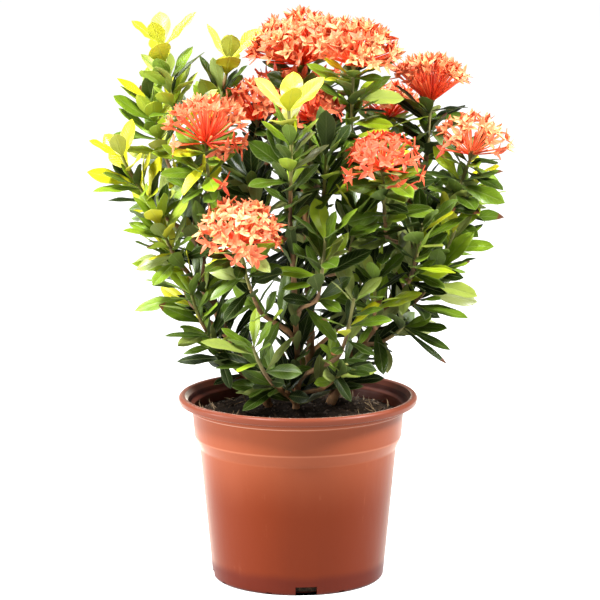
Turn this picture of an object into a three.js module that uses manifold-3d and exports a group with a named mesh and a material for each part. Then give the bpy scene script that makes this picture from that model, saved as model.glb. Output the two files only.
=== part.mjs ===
// Potted ixora: a bushy flowering plant in a plain round nursery pot.
// Millimetres, +Z up. The origin is the middle of the pot's flat base.

import * as THREE from 'three';
import Module from 'manifold-3d';

const wasm = await Module();
wasm.setup();

// ---------------------------------------------------------------------------
// Driving dimensions
// ---------------------------------------------------------------------------

const GAP = 0.3; // kept between pieces that touch

const POT = {
  baseRadius: 68.3,
  segments: 36,
  floor: 2.5,
  slot: { width: 17, height: 7, depth: 9, angle: 5.5 },
  notch: { width: 5, height: 1.8, depth: 2.4, spread: 25 },
};

// Radius and height of the outer wall from the foot to the inside of the rim.
const POT_OUTSIDE = [
  [66.9, 0],
  [68.3, 1.6],
  [78.3, 105.5],
  [82.4, 114.6],
  [84.1, 135.6],
  [87.9, 137],
  [88.6, 140.7],
  [94.4, 141],
  [95, 145.4],
  [93.2, 147.5],
  [90, 147.1],
  [89.1, 145.4],
];

// Radius and height of the inner wall from the ledge under the rim to the floor.
const POT_INSIDE = [
  [86.4, 141.4],
  [85.8, 139.6],
  [82.2, 138.4],
  [80.2, 115.4],
  [76.2, 106.2],
  [66.4, 2.5],
];

const SOIL = {
  top: 131,
  segments: 22,
  waist: 105.6,
  rings: [1, 0.84, 0.6, 0.3],
  lump: 1.3,
  mound: 3,
  facetGap: 0.5,
  slotClearance: 1,
};

const HOLE = { depth: 12, clearance: 0.5, sides: 7 };

const BRANCH = { sides: 4, stepLength: 32, rootRadius: 2.2, tipRadius: 1.6 };

// A branch's first and last stretch, as shares of its reach.
const BEND = { leave: 0.35, arrive: 0.3 };

const STEM = {
  radius: 1.35,
  taper: 0.75,
  elbow: { sideways: 0.62, upwards: 0.4 },
  bandHeight: 1.8,
  topBand: 0.95,
  bandSpread: 0.8,
  bandCrowding: 0.85,
};

const LEAF = {
  edgeThickness: 0.7,
  ribThickness: 1,
  stations: [
    { along: 0.4, halfWidth: 0.44 },
    { along: 0.78, halfWidth: 0.43 },
  ],
  widthToLength: 0.4,
  tries: 26,
  clearance: 0.35,
  footShare: 0.02,
  bladeShare: 0.12,
};

// How a leaf is held: degrees above square to its stem, pull to the light, and bounds of its size and bend.
const POISE = {
  lowRise: 24,
  crownRise: 50,
  crownEase: 1.5,
  lightward: 0.8,
  length: [0.86, 1.08],
  crownLength: 0.86,
  width: [0.9, 1.12],
  droop: [0.02, 0.16],
  droopLow: 1.3,
  droopLost: 0.6,
  fold: [0.08, 0.24],
};

// Degrees that every leaf scatters by, and degrees and shrinkage that its last try may reach.
const SCATTER = { turn: 12, rise: 9, roll: 16 };
const LAST_TRY = { turn: 60, rise: 46, roll: 40, shrink: 0.25 };

const FLORET = {
  throat: 0.28,
  thickness: 1.2,
  radius: 12.4,
  mostOfHead: 0.345,
  fullEdge: 90,
  spread: [0.92, 1.02],
  cup: 1.2,
};

const HEAD = {
  neck: 5,
  stalk: 1.8,
  rings: [{ polar: 1, share: 0.35 }, { polar: 0.6, share: 0.44 }, { polar: 0.28, share: 0.46 }],
  reach: [0.93, 1.03],
  topReach: [0.94, 1.06],
  topSize: 0.8,
};

// ---------------------------------------------------------------------------
// Materials
// ---------------------------------------------------------------------------

const plastic = () => new THREE.MeshStandardMaterial({ color: 0xb05535, roughness: 0.42, metalness: 0 });
const soilMix = () => new THREE.MeshStandardMaterial({ color: 0x2b2018, roughness: 0.98, metalness: 0 });
const bark = () => new THREE.MeshStandardMaterial({ color: 0x8a6645, roughness: 0.85, metalness: 0 });
const petal = () => new THREE.MeshStandardMaterial({ color: 0xf0744f, roughness: 0.6, metalness: 0 });

const LEAF_COLOURS = { deep: 0x2c4a1a, mid: 0x4f7a26, light: 0x8fa84a, lime: 0x7fc02a, young: 0xf2f04a };
const foliage = (tone) => {
  return new THREE.MeshStandardMaterial({ color: LEAF_COLOURS[tone], roughness: 0.4, metalness: 0 });
};

// ---------------------------------------------------------------------------
// The bush: hand-laid trunks, shoots, young tips and flower heads
// ---------------------------------------------------------------------------

// Each trunk's path out of the soil, with its radius at the foot and at the top.
const TRUNKS = {
  trunk_left: {
    path: [[-22, 18, 131], [-42, 12, 172], [-62, 4, 206], [-78, 2, 262], [-82, 2, 325]],
    foot: 4,
    top: 2.2,
  },
  trunk_centre: {
    path: [[8, 32, 131], [10, 26, 190], [8, 18, 250], [4, 12, 318]],
    foot: 4.4,
    top: 2.2,
  },
  trunk_right: {
    path: [[25, 28, 131], [46, 24, 176], [68, 18, 208], [90, 12, 252], [98, 12, 300]],
    foot: 4.4,
    top: 2.2,
  },
  trunk_front: {
    path: [[-2, 2, 131], [0, -14, 165], [-2, -30, 215], [-4, -38, 270]],
    foot: 3,
    top: 2,
  },
  trunk_back: {
    path: [[4, 52, 131], [0, 60, 180], [0, 66, 245], [-4, 62, 300]],
    foot: 3.6,
    top: 2.2,
  },
};

// Each leafy shoot: the trunk and the share of its path where its branch starts, then the shoot's foot
// and tip, the leaves in each band from the lowest to the crown, the leaf length and the tone.
const SHOOTS = [
  ['left_1', 'trunk_left', 0.42, [-70, -10, 196], [-84, -18, 232], [2, 2, 4], 40, 'mid'],
  ['left_2', 'trunk_left', 0.46, [-86, 4, 222], [-100, 2, 262], [2, 2, 4], 40, 'light'],
  ['left_3', 'trunk_left', 0.62, [-92, -22, 256], [-108, -32, 292], [2, 4, 4], 38, 'lime'],
  ['left_4', 'trunk_left', 0.8, [-101, -8, 288], [-125, -16, 318], [2, 2, 4], 37, 'lime'],
  ['left_5', 'trunk_left', 0.9, [-98, 2, 322], [-116, -2, 386], [4, 4, 4, 4], 37, 'lime'],
  ['left_6', 'trunk_left', 0.99, [-88, -10, 346], [-101, -20, 402], [2, 4, 4], 37, 'lime'],
  ['left_7', 'trunk_left', 0.97, [-70, 30, 340], [-60, 44, 386], [2, 4, 4], 38, 'light'],
  ['left_8', 'trunk_left', 0.72, [-68, -38, 300], [-70, -53, 350], [2, 2, 4], 39, 'mid'],
  ['left_9', 'trunk_left', 0.84, [-50, 20, 312], [-32, 18, 358], [2, 4], 37, 'deep'],
  ['left_10', 'trunk_left', 0.5, [-74, 32, 240], [-88, 50, 284], [2, 2, 4], 40, 'mid'],
  ['front_1', 'trunk_front', 0.98, [-6, -58, 300], [-5, -74, 360], [2, 4, 4], 38, 'mid'],
  ['front_2', 'trunk_front', 0.74, [16, -62, 238], [21, -80, 286], [2, 2, 4], 40, 'mid'],
  ['front_3', 'trunk_front', 0.42, [34, -50, 192], [43, -66, 236], [2, 4], 36, 'light'],
  ['front_4', 'trunk_front', 0.28, [-20, -40, 164], [-35, -62, 198], [2, 2, 4], 39, 'mid'],
  ['front_5', 'trunk_front', 0.3, [-8, -12, 148], [-20, -34, 164], [2, 2], 42, 'deep'],
  ['front_6', 'trunk_front', 0.62, [-30, -58, 226], [-44, -82, 277], [2, 4], 40, 'mid'],
  ['front_7', 'trunk_left', 0.24, [-50, -16, 172], [-68, -34, 202], [2, 2], 40, 'deep'],
  ['front_8', 'trunk_front', 0.34, [20, -30, 158], [38, -52, 182], [2, 2], 38, 'mid'],
  ['centre_1', 'trunk_centre', 0.98, [3, 24, 338], [4, 48, 399], [2, 4, 2], 37, 'deep'],
  ['centre_2', 'trunk_centre', 0.94, [9, 4, 320], [10, -10, 362], [2, 4], 37, 'deep'],
  ['centre_3', 'trunk_centre', 0.8, [18, -28, 296], [22, -46, 346], [2, 4, 4], 39, 'mid'],
  ['centre_4', 'trunk_centre', 0.66, [36, -26, 254], [46, -46, 300], [2, 2, 4], 40, 'mid'],
  ['centre_5', 'trunk_centre', 0.74, [-24, -22, 282], [-37, -40, 328], [2, 4, 4], 39, 'deep'],
  ['right_1', 'trunk_right', 0.66, [92, -6, 222], [109, -16, 250], [2, 2, 4], 43, 'mid'],
  ['right_2', 'trunk_right', 0.76, [106, 0, 246], [123, -12, 281], [2, 4, 2], 39, 'light'],
  ['right_3', 'trunk_right', 0.86, [112, 14, 276], [134, 8, 306], [2, 4], 37, 'mid'],
  ['right_4', 'trunk_right', 0.4, [66, 6, 188], [84, -6, 204], [2, 2], 44, 'deep'],
  ['right_5', 'trunk_right', 0.5, [60, -22, 208], [60, -44, 248], [2, 2, 4], 40, 'mid'],
  ['right_6', 'trunk_right', 0.99, [100, 14, 318], [104, 15, 373], [2, 4, 2], 37, 'deep'],
  ['right_7', 'trunk_right', 0.92, [114, -10, 296], [134, -14, 336], [2, 2, 2], 39, 'mid'],
  ['right_8', 'trunk_right', 0.8, [68, -44, 284], [65, -66, 332], [2, 2, 4], 39, 'mid'],
  ['right_9', 'trunk_centre', 0.9, [40, -6, 344], [43, -20, 406], [2, 4, 4], 37, 'mid'],
  ['right_10', 'trunk_right', 0.93, [76, 42, 312], [72, 56, 356], [2, 4], 37, 'mid'],
  ['right_11', 'trunk_right', 0.6, [84, 42, 250], [98, 60, 296], [2, 2, 4], 40, 'mid'],
  ['right_12', 'trunk_right', 0.7, [88, -34, 248], [96, -52, 292], [2, 2, 4], 39, 'mid'],
  ['back_1', 'trunk_back', 0.6, [-26, 80, 246], [-46, 96, 292], [2, 4, 4], 40, 'mid'],
  ['back_2', 'trunk_back', 0.98, [6, 76, 312], [12, 86, 364], [2, 4, 4], 39, 'light'],
  ['back_3', 'trunk_back', 0.36, [34, 76, 188], [54, 88, 230], [2, 2, 4], 40, 'deep'],
];

// Young tips: the shoot that carries each, its tip, the leaves in each band and the leaf length.
const YOUNG = [
  ['young_1', 'left_6', [-105, -21, 427], [2, 4], 40],
  ['young_2', 'left_7', [-55, 46, 410], [2, 4], 40],
  ['young_3', 'left_4', [-137, -20, 341], [2, 4], 35],
  ['young_4', 'front_1', [-7, -77, 384], [2, 4], 40],
  ['young_5', 'right_3', [143, 5, 325], [2, 2], 22],
];

const YOUNG_SEED = 61;

// Flower heads: the shoot that carries each, the way it faces, its radius, the degrees from its axis to
// the edge of its heart, and its florets around.
const BLOOMS = [
  ['bloom_1', 'centre_1', [-0.06, 0.05, 1], 44, 92, 7],
  ['bloom_2', 'right_9', [0.12, -0.1, 1], 36, 90, 7],
  ['bloom_3', 'right_6', [0.04, -0.05, 1], 36, 76, 6],
  ['bloom_4', 'right_7', [0.2, -0.2, 1], 32, 82, 6],
  ['bloom_5', 'right_8', [-0.08, -0.3, 1], 33, 90, 7],
  ['bloom_6', 'front_6', [0, -0.42, 1], 33, 92, 7],
  ['bloom_7', 'left_8', [-0.04, -0.2, 1], 35, 82, 6],
  ['bloom_8', 'left_9', [-0.1, -0.1, 1], 31, 86, 6],
  ['bloom_9', 'right_10', [0.05, 0.2, 1], 27, 90, 6],
  ['bloom_10', 'centre_2', [0, -0.3, 1], 25, 90, 6],
];

// ---------------------------------------------------------------------------
// Small helpers
// ---------------------------------------------------------------------------

const vec = (p) => new THREE.Vector3(p[0], p[1], p[2]);
const UP = new THREE.Vector3(0, 0, 1);
const LIGHT = new THREE.Vector3(-0.3, -0.62, 0.72); // the way to the light that the leaves face
const radians = (degrees) => (degrees * Math.PI) / 180;
const mix = (a, b, t) => a + (b - a) * t;

// A repeatable number from 0 to 1 for a whole-numbered seed and salt.
function scatter(seed, salt) {
  const wave = Math.sin(seed * 12.9898 + salt * 78.233) * 43758.5453;
  return wave - Math.floor(wave);
}

// The same, from -1 to 1.
const spread = (seed, salt) => scatter(seed, salt) * 2 - 1;

// The part of v that stands square to the unit vector axis, as a unit vector.
function squareTo(v, axis) {
  return v.clone().addScaledVector(axis, -v.dot(axis)).normalize();
}

// A closed skin of triangles, built from loops that run anticlockwise seen from outside.
class Skin {
  constructor() {
    this.points = [];
    this.faces = [];
  }

  point(v) {
    this.points.push(v);
    return this.points.length - 1;
  }

  loop(vectors) {
    return vectors.map((v) => this.point(v));
  }

  face(a, b, c) {
    this.faces.push([a, b, c]);
  }

  quad(a, b, c, d) {
    this.face(a, b, c);
    this.face(a, c, d);
  }

  wall(near, far) {
    for (let i = 0; i < near.length; i++) {
      const next = (i + 1) % near.length;
      this.quad(near[i], near[next], far[next], far[i]);
    }
  }

  fan(loop, apex) {
    for (let i = 0; i < loop.length; i++) {
      this.face(loop[i], loop[(i + 1) % loop.length], apex);
    }
  }

  lid(loop) {
    for (let i = 1; i + 1 < loop.length; i++) {
      this.face(loop[0], loop[i], loop[i + 1]);
    }
  }

  geometry() {
    const geometry = new THREE.BufferGeometry();
    const position = this.points.flatMap((p) => [p.x, p.y, p.z]);
    geometry.setAttribute('position', new THREE.Float32BufferAttribute(position, 3));
    geometry.setIndex(this.faces.flat());
    return geometry;
  }
}

function toSolid(geometry) {
  const mesh = new wasm.Mesh({
    numProp: 3,
    vertProperties: Float32Array.from(geometry.attributes.position.array),
    triVerts: Uint32Array.from(geometry.index.array),
  });
  mesh.merge();
  return new wasm.Manifold(mesh);
}

function toGeometry(solid) {
  const mesh = solid.getMesh();
  const geometry = new THREE.BufferGeometry();
  geometry.setAttribute('position', new THREE.Float32BufferAttribute(mesh.vertProperties, 3));
  geometry.setIndex(Array.from(mesh.triVerts));
  return geometry;
}

function piece(name, geometry, material) {
  geometry.computeVertexNormals();
  const mesh = new THREE.Mesh(geometry, material);
  mesh.name = name;
  return mesh;
}

// A ring of points square to an axis, anticlockwise seen from the axis's far end.
function ringAt(centre, across, axis, radius, sides, turn = 0) {
  const side = new THREE.Vector3().crossVectors(axis, across);
  return Array.from({ length: sides }, (_, k) => {
    const angle = turn + (2 * Math.PI * k) / sides;
    return centre.clone()
      .addScaledVector(across, radius * Math.cos(angle))
      .addScaledVector(side, radius * Math.sin(angle));
  });
}

// Frames along a curve: point, way along it, and a side direction that doesn't twist.
function framesAlong(curve, shares) {
  let across = null;
  return shares.map((share) => {
    const along = curve.getTangent(share).normalize();
    const start = Math.abs(along.z) > 0.9 ? new THREE.Vector3(1, 0, 0) : UP;
    across = squareTo(across ?? start, along);
    return { centre: curve.getPoint(share), along, across };
  });
}

// A closed round bar along a curve, tapering from one radius to the other.
function bar(curve, sides, steps, firstRadius, lastRadius) {
  const skin = new Skin();
  const shares = Array.from({ length: steps + 1 }, (_, i) => i / steps);
  const loops = framesAlong(curve, shares).map((frame, i) => {
    const radius = mix(firstRadius, lastRadius, shares[i]);
    return skin.loop(ringAt(frame.centre, frame.across, frame.along, radius, sides));
  });
  skin.lid([...loops[0]].reverse());
  for (let i = 0; i < steps; i++) skin.wall(loops[i], loops[i + 1]);
  skin.lid(loops[steps]);
  return skin.geometry();
}

// ---------------------------------------------------------------------------
// Clear space: leaves are turned until they cross nothing that already stands
// ---------------------------------------------------------------------------

const CELL = 12;
const space = new Map();

function cellsOf(corners, visit) {
  const box = new THREE.Box3().setFromPoints(corners);
  const low = box.min.clone().divideScalar(CELL).floor();
  const high = box.max.clone().divideScalar(CELL).floor();
  for (let x = low.x; x <= high.x; x++) {
    for (let y = low.y; y <= high.y; y++) {
      for (let z = low.z; z <= high.z; z++) visit(`${x},${y},${z}`);
    }
  }
}

const trianglesOf = (skin) => skin.faces.map((face) => face.map((i) => skin.points[i]));

function occupy(triangles, owner, isLeaf) {
  for (const triangle of triangles) {
    const box = new THREE.Box3().setFromPoints(triangle);
    const entry = { triangle, box, owner, isLeaf };
    cellsOf(triangle, (key) => {
      if (!space.has(key)) space.set(key, []);
      space.get(key).push(entry);
    });
  }
}

const ray = new THREE.Ray();
const hit = new THREE.Vector3();

function edgeCrosses(from, to, triangle) {
  const length = from.distanceTo(to);
  ray.origin.copy(from);
  ray.direction.subVectors(to, from).divideScalar(length);
  const found = ray.intersectTriangle(triangle[0], triangle[1], triangle[2], false, hit);
  return found !== null && hit.distanceTo(from) <= length;
}

function trianglesCross(a, b) {
  for (let i = 0; i < 3; i++) {
    const next = (i + 1) % 3;
    if (edgeCrosses(a[i], a[next], b) || edgeCrosses(b[i], b[next], a)) return true;
  }
  return false;
}

function isClear(triangles, matters) {
  for (const triangle of triangles) {
    const box = new THREE.Box3().setFromPoints(triangle);
    let clear = true;
    cellsOf(triangle, (key) => {
      for (const other of space.get(key) ?? []) {
        const near = clear && matters(other) && box.intersectsBox(other.box);
        if (near && trianglesCross(triangle, other.triangle)) clear = false;
      }
    });
    if (!clear) return false;
  }
  return true;
}

// ---------------------------------------------------------------------------
// Pot
// ---------------------------------------------------------------------------

function lathe(profile, segments) {
  const geometry = new THREE.LatheGeometry(profile.map(([r, z]) => new THREE.Vector2(r, z)), segments);
  geometry.rotateX(Math.PI / 2);
  return geometry;
}

// A box that bites into the foot of the pot from outside, at an angle from the front.
function footBite(angle, width, height, depth) {
  const reach = depth + 10;
  const box = new THREE.BoxGeometry(width, reach, height + 5);
  box.translate(0, -(POT.baseRadius - depth + reach / 2), (height - 5) / 2);
  box.rotateZ(radians(angle));
  return toSolid(box);
}

function slotAngles() {
  return [0, 1, 2, 3].map((quarter) => POT.slot.angle + quarter * 90);
}

function makePot() {
  const outline = [[0, 0], ...POT_OUTSIDE, ...POT_INSIDE, [0, POT.floor]];
  let solid = toSolid(lathe(outline, POT.segments));
  for (const angle of slotAngles()) {
    const { width, height, depth } = POT.slot;
    solid = solid.subtract(footBite(angle, width, height, depth));
    for (const side of [-1, 1]) {
      const { notch } = POT;
      solid = solid.subtract(footBite(angle + side * notch.spread, notch.width, notch.height, notch.depth));
    }
  }
  return piece('pot', toGeometry(solid), plastic());
}

// ---------------------------------------------------------------------------
// Soil
// ---------------------------------------------------------------------------

// The lumpy surface: flat where it meets the pot, and heaped a little in the middle.
function soilHeight(x, y, share) {
  const lumps = Math.sin(x * 0.21 + 1) * Math.cos(y * 0.17) + 0.6 * Math.sin(x * 0.09 - y * 0.24 + 2);
  return SOIL.top + SOIL.lump * lumps * (1 - share ** 4) + SOIL.mound * (1 - share ** 2);
}

// Radius of the pot's inner wall at a height below the ledge, less the gap.
function innerRadius(height) {
  const next = POT_INSIDE.findIndex(([, level]) => level < height);
  const [highRadius, high] = POT_INSIDE[next - 1];
  const [lowRadius, low] = POT_INSIDE[next];
  return mix(lowRadius, highRadius, (height - low) / (high - low)) - GAP;
}

function soilRing(skin, radius, heightAt) {
  return skin.loop(Array.from({ length: SOIL.segments }, (_, k) => {
    const angle = (2 * Math.PI * k) / SOIL.segments;
    const x = radius * Math.cos(angle);
    const y = radius * Math.sin(angle);
    return new THREE.Vector3(x, y, heightAt(x, y));
  }));
}

function makeSoil() {
  const skin = new Skin();
  const waist = [POT.floor + GAP, SOIL.waist].map((height) => {
    return soilRing(skin, innerRadius(height) - SOIL.facetGap, () => height);
  });
  const surface = SOIL.rings.map((share) => {
    return soilRing(skin, (innerRadius(SOIL.top) - SOIL.facetGap) * share, (x, y) => soilHeight(x, y, share));
  });
  const loops = [...waist, ...surface];
  skin.lid([...loops[0]].reverse());
  for (let i = 0; i + 1 < loops.length; i++) skin.wall(loops[i], loops[i + 1]);
  skin.fan(loops[loops.length - 1], skin.point(new THREE.Vector3(0, 0, soilHeight(0, 0, 0))));

  let solid = toSolid(skin.geometry());
  for (const angle of slotAngles()) {
    const { width, height, depth } = POT.slot;
    const room = SOIL.slotClearance;
    solid = solid.subtract(footBite(angle, width + 2 * room, height + room, depth + room));
  }
  for (const trunk of Object.values(TRUNKS)) solid = solid.subtract(toSolid(trunkHole(trunk)));
  return piece('soil', toGeometry(solid), soilMix());
}

// ---------------------------------------------------------------------------
// Woody trunks and branches
// ---------------------------------------------------------------------------

// The straight foot of a trunk: it stands in the soil at the slope of its first stretch.
function trunkFoot(trunk) {
  const ground = vec(trunk.path[0]);
  const lean = vec(trunk.path[1]).sub(ground).normalize();
  return { ground, lean, bottom: ground.clone().addScaledVector(lean, -HOLE.depth) };
}

function trunkCurve(trunk) {
  const { bottom } = trunkFoot(trunk);
  return new THREE.CatmullRomCurve3([bottom, ...trunk.path.map(vec)], false, 'centripetal');
}

function trunkHole(trunk) {
  const { ground, lean, bottom } = trunkFoot(trunk);
  const start = bottom.clone().addScaledVector(lean, -HOLE.clearance);
  const end = ground.clone().addScaledVector(lean, HOLE.depth);
  const radius = trunk.foot + 2 * HOLE.clearance;
  return bar(new THREE.LineCurve3(start, end), HOLE.sides, 1, radius, radius);
}

// A branch leaves its trunk the way the trunk grows and ends in line with the shoot that it carries.
function branchCurve(trunk, share, foot, tip) {
  const main = trunkCurve(trunk);
  const way = stemCurve(foot, tip).getTangent(0).normalize();
  const start = main.getPoint(share);
  const end = vec(foot).addScaledVector(way, -GAP);
  const reach = start.distanceTo(end);
  const leave = start.clone().addScaledVector(main.getTangent(share), reach * BEND.leave);
  const arrive = end.clone().addScaledVector(way, -reach * BEND.arrive);
  return new THREE.CubicBezierCurve3(start, leave, arrive, end);
}

function makeTrunk(name) {
  const trunk = TRUNKS[name];
  const steps = trunk.path.length + 1;
  let solid = toSolid(bar(trunkCurve(trunk), BRANCH.sides + 1, steps, trunk.foot, trunk.top));
  for (const [, parent, share, foot, tip] of SHOOTS) {
    if (parent === name) {
      const curve = branchCurve(trunk, share, foot, tip);
      const bends = Math.max(2, Math.round(curve.getLength() / BRANCH.stepLength));
      solid = solid.add(toSolid(bar(curve, BRANCH.sides, bends, BRANCH.rootRadius, BRANCH.tipRadius)));
    }
  }
  const geometry = toGeometry(solid);
  occupyGeometry(name, geometry);
  return piece(name, geometry, bark());
}

function occupyGeometry(owner, geometry) {
  const { position } = geometry.attributes;
  const index = geometry.index.array;
  const corner = (i) => new THREE.Vector3().fromBufferAttribute(position, index[i]);
  const triangles = [];
  for (let i = 0; i < index.length; i += 3) triangles.push([corner(i), corner(i + 1), corner(i + 2)]);
  occupy(triangles, owner, false);
}

// ---------------------------------------------------------------------------
// Leafy stems
// ---------------------------------------------------------------------------

// A stem starts flatter than it ends, as a shoot that turns up to the light.
function stemCurve(foot, tip) {
  const { sideways, upwards } = STEM.elbow;
  const start = vec(foot);
  const end = vec(tip);
  const elbow = start.clone().lerp(end, sideways).setZ(mix(start.z, end.z, upwards));
  return new THREE.QuadraticBezierCurve3(start, elbow, end);
}

// Shares along the stem where the bands of leaves sit, closer together towards the tip.
function bandShares(count) {
  return Array.from({ length: count }, (_, i) => {
    return STEM.topBand - STEM.bandSpread * ((count - 1 - i) / count) ** STEM.bandCrowding;
  });
}

// The shape of one leaf on a try: its way out, the side its face looks to, its size and its bend. A low
// leaf stands nearly square to its stem, and a crown leaf rises with it.
function leafForm(stem, band, side, attempt) {
  const seed = stem.seed * 101 + band * 11 + side * 3;
  const restless = attempt / LEAF.tries;
  const loose = (kind, salt) => {
    const free = SCATTER[kind] * spread(seed, salt);
    return free + LAST_TRY[kind] * spread(seed, salt * 10 + attempt) * restless;
  };
  const { frame } = stem.bands[band];
  const crown = (band + 1) / stem.bands.length;
  const outward = ringAt(new THREE.Vector3(), frame.across, frame.along, 1, 4, Math.PI / 2)[side];
  outward.applyAxisAngle(frame.along, radians(loose('turn', 1)));
  const rise = radians(mix(POISE.lowRise, POISE.crownRise, crown ** POISE.crownEase) + loose('rise', 2));
  const raised = (a, b) => a.clone().multiplyScalar(Math.cos(rise)).addScaledVector(b, Math.sin(rise));
  const along = raised(outward, frame.along);
  const upright = raised(frame.along, outward.clone().negate());
  const face = squareTo(upright.addScaledVector(LIGHT, POISE.lightward), along);
  face.applyAxisAngle(along, radians(loose('roll', 3)));
  const shrunk = (crown === 1 ? POISE.crownLength : 1) * (1 - LAST_TRY.shrink * restless);
  const length = stem.leaf * mix(...POISE.length, scatter(seed, 4)) * shrunk;
  return {
    along,
    face,
    length,
    width: length * LEAF.widthToLength * mix(...POISE.width, scatter(seed, 5)),
    droop: mix(...POISE.droop, scatter(seed, 6)) * (POISE.droopLow - POISE.droopLost * crown),
    fold: mix(...POISE.fold, scatter(seed, 7)),
  };
}

// The six points of a leaf's section at a share of its length: under side, then upper side.
function leafSection(root, form, along, halfWidth, extra) {
  const across = new THREE.Vector3().crossVectors(form.face, form.along);
  const bend = -form.droop * along * along * form.length;
  const centre = root.clone().addScaledVector(form.along, along * form.length);
  centre.addScaledVector(form.face, bend);
  const reach = halfWidth * form.width + extra;
  const lift = reach * form.fold;
  const at = (side, raise) => {
    return centre.clone().addScaledVector(across, side * reach).addScaledVector(form.face, raise);
  };
  const edge = LEAF.edgeThickness / 2 + extra;
  const rib = LEAF.ribThickness / 2 + extra;
  const under = [at(-1, lift - edge), at(0, -rib), at(1, lift - edge)];
  return [...under, at(1, lift + edge), at(0, rib), at(-1, lift + edge)];
}

function leafTip(root, form, extra) {
  const bend = -form.droop * form.length;
  return root.clone().addScaledVector(form.along, form.length + extra).addScaledVector(form.face, bend);
}

// Draws a four-cornered socket out into a leaf: cuneate foot, creased middle, pointed end. The extra
// swells the blade on every side.
function growLeaf(skin, socket, root, form, extra) {
  const [a, b, c, d] = socket;
  const [inner, outer] = LEAF.stations.map((s) => leafSection(root, form, s.along, s.halfWidth, extra));
  const first = skin.loop(inner);
  const second = skin.loop([outer[0], outer[2], outer[3], outer[5]]);
  const [leftLow, midLow, rightLow, rightHigh, midHigh, leftHigh] = first;
  skin.face(a, midLow, leftLow);
  skin.face(a, b, midLow);
  skin.face(b, rightLow, midLow);
  skin.quad(b, c, rightHigh, rightLow);
  skin.face(c, midHigh, rightHigh);
  skin.face(c, d, midHigh);
  skin.face(d, leftHigh, midHigh);
  skin.quad(d, a, leftLow, leftHigh);
  const [leftLow2, rightLow2, rightHigh2, leftHigh2] = second;
  skin.face(leftLow, midLow, leftLow2);
  skin.face(midLow, rightLow2, leftLow2);
  skin.face(midLow, rightLow, rightLow2);
  skin.quad(rightLow, rightHigh, rightHigh2, rightLow2);
  skin.face(rightHigh, midHigh, rightHigh2);
  skin.face(midHigh, leftHigh2, rightHigh2);
  skin.face(midHigh, leftHigh, leftHigh2);
  skin.quad(leftHigh, leftLow, leftLow2, leftHigh2);
  skin.fan(second, skin.point(leafTip(root, form, extra)));
}

// The triangles of a leaf from a share of its length outwards, for testing that its space is clear.
function leafTriangles(corners, root, form, from, extra) {
  const skin = new Skin();
  const station = LEAF.stations[0];
  const section = leafSection(root, form, station.along, station.halfWidth, extra);
  const ends = [section[0], section[2], section[3], section[5]];
  const foot = corners.map((corner, i) => corner.clone().lerp(ends[i], from / station.along));
  growLeaf(skin, skin.loop(foot), root, form, extra);
  return trianglesOf(skin);
}

// The stem's rings and the places where its leaves will grow.
function planStem(name, foot, tip, counts, leaf, tone, seed) {
  const curve = stemCurve(foot, tip);
  const length = curve.getLength();
  const shares = bandShares(counts.length);
  const half = STEM.bandHeight / 2 / length;
  const stops = [0, ...shares.flatMap((s) => [s - half, s + half]), 1];
  const frames = framesAlong(curve, stops);
  const skin = new Skin();
  const loops = frames.map((frame, i) => {
    const radius = STEM.radius * mix(1, STEM.taper, stops[i]);
    return skin.loop(ringAt(frame.centre, frame.across, frame.along, radius, 4, Math.PI / 4));
  });
  const bands = counts.map((count, i) => {
    const [lower, upper] = loops.slice(2 * i + 1, 2 * i + 3);
    return { count, frame: frames[2 * i + 1], lower, upper };
  });
  skin.lid([...loops[0]].reverse());
  for (let i = 0; i + 1 < loops.length; i += 2) skin.wall(loops[i], loops[i + 1]);
  skin.lid(loops[loops.length - 1]);
  return { name, skin, bands, leaf, tone, seed };
}

// Grows every leaf that finds clear space, and closes the band where none does.
function growLeaves(stem) {
  const { skin, bands } = stem;
  bands.forEach((band, index) => {
    for (let side = 0; side < 4; side++) {
      const next = (side + 1) % 4;
      const socket = [band.lower[side], band.lower[next], band.upper[next], band.upper[side]];
      const wanted = band.count === 4 || side % 2 === index % 2;
      const corners = socket.map((i) => skin.points[i]);
      const root = corners.reduce((sum, corner) => sum.addScaledVector(corner, 0.25), new THREE.Vector3());
      const form = wanted ? clearForm(stem, index, side, corners, root) : null;
      if (form) growLeaf(skin, socket, root, form, 0);
      else skin.quad(...socket);
    }
  });
}

function clearForm(stem, band, side, corners, root) {
  for (let attempt = 0; attempt < LEAF.tries; attempt++) {
    const form = leafForm(stem, band, side, attempt);
    const leaf = leafTriangles(corners, root, form, LEAF.footShare, 0);
    const blade = leafTriangles(corners, root, form, LEAF.bladeShare, LEAF.clearance);
    const swollen = leafTriangles(corners, root, form, LEAF.footShare, LEAF.clearance);
    const clear = isClear(swollen, (other) => other.owner !== stem.name)
      && isClear(leaf, (other) => other.owner === stem.name && other.isLeaf)
      && isClear(blade, (other) => other.owner === stem.name && !other.isLeaf);
    if (clear) {
      occupy(leaf, stem.name, true);
      return form;
    }
  }
  return null;
}

// ---------------------------------------------------------------------------
// Flower heads
// ---------------------------------------------------------------------------

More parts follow.
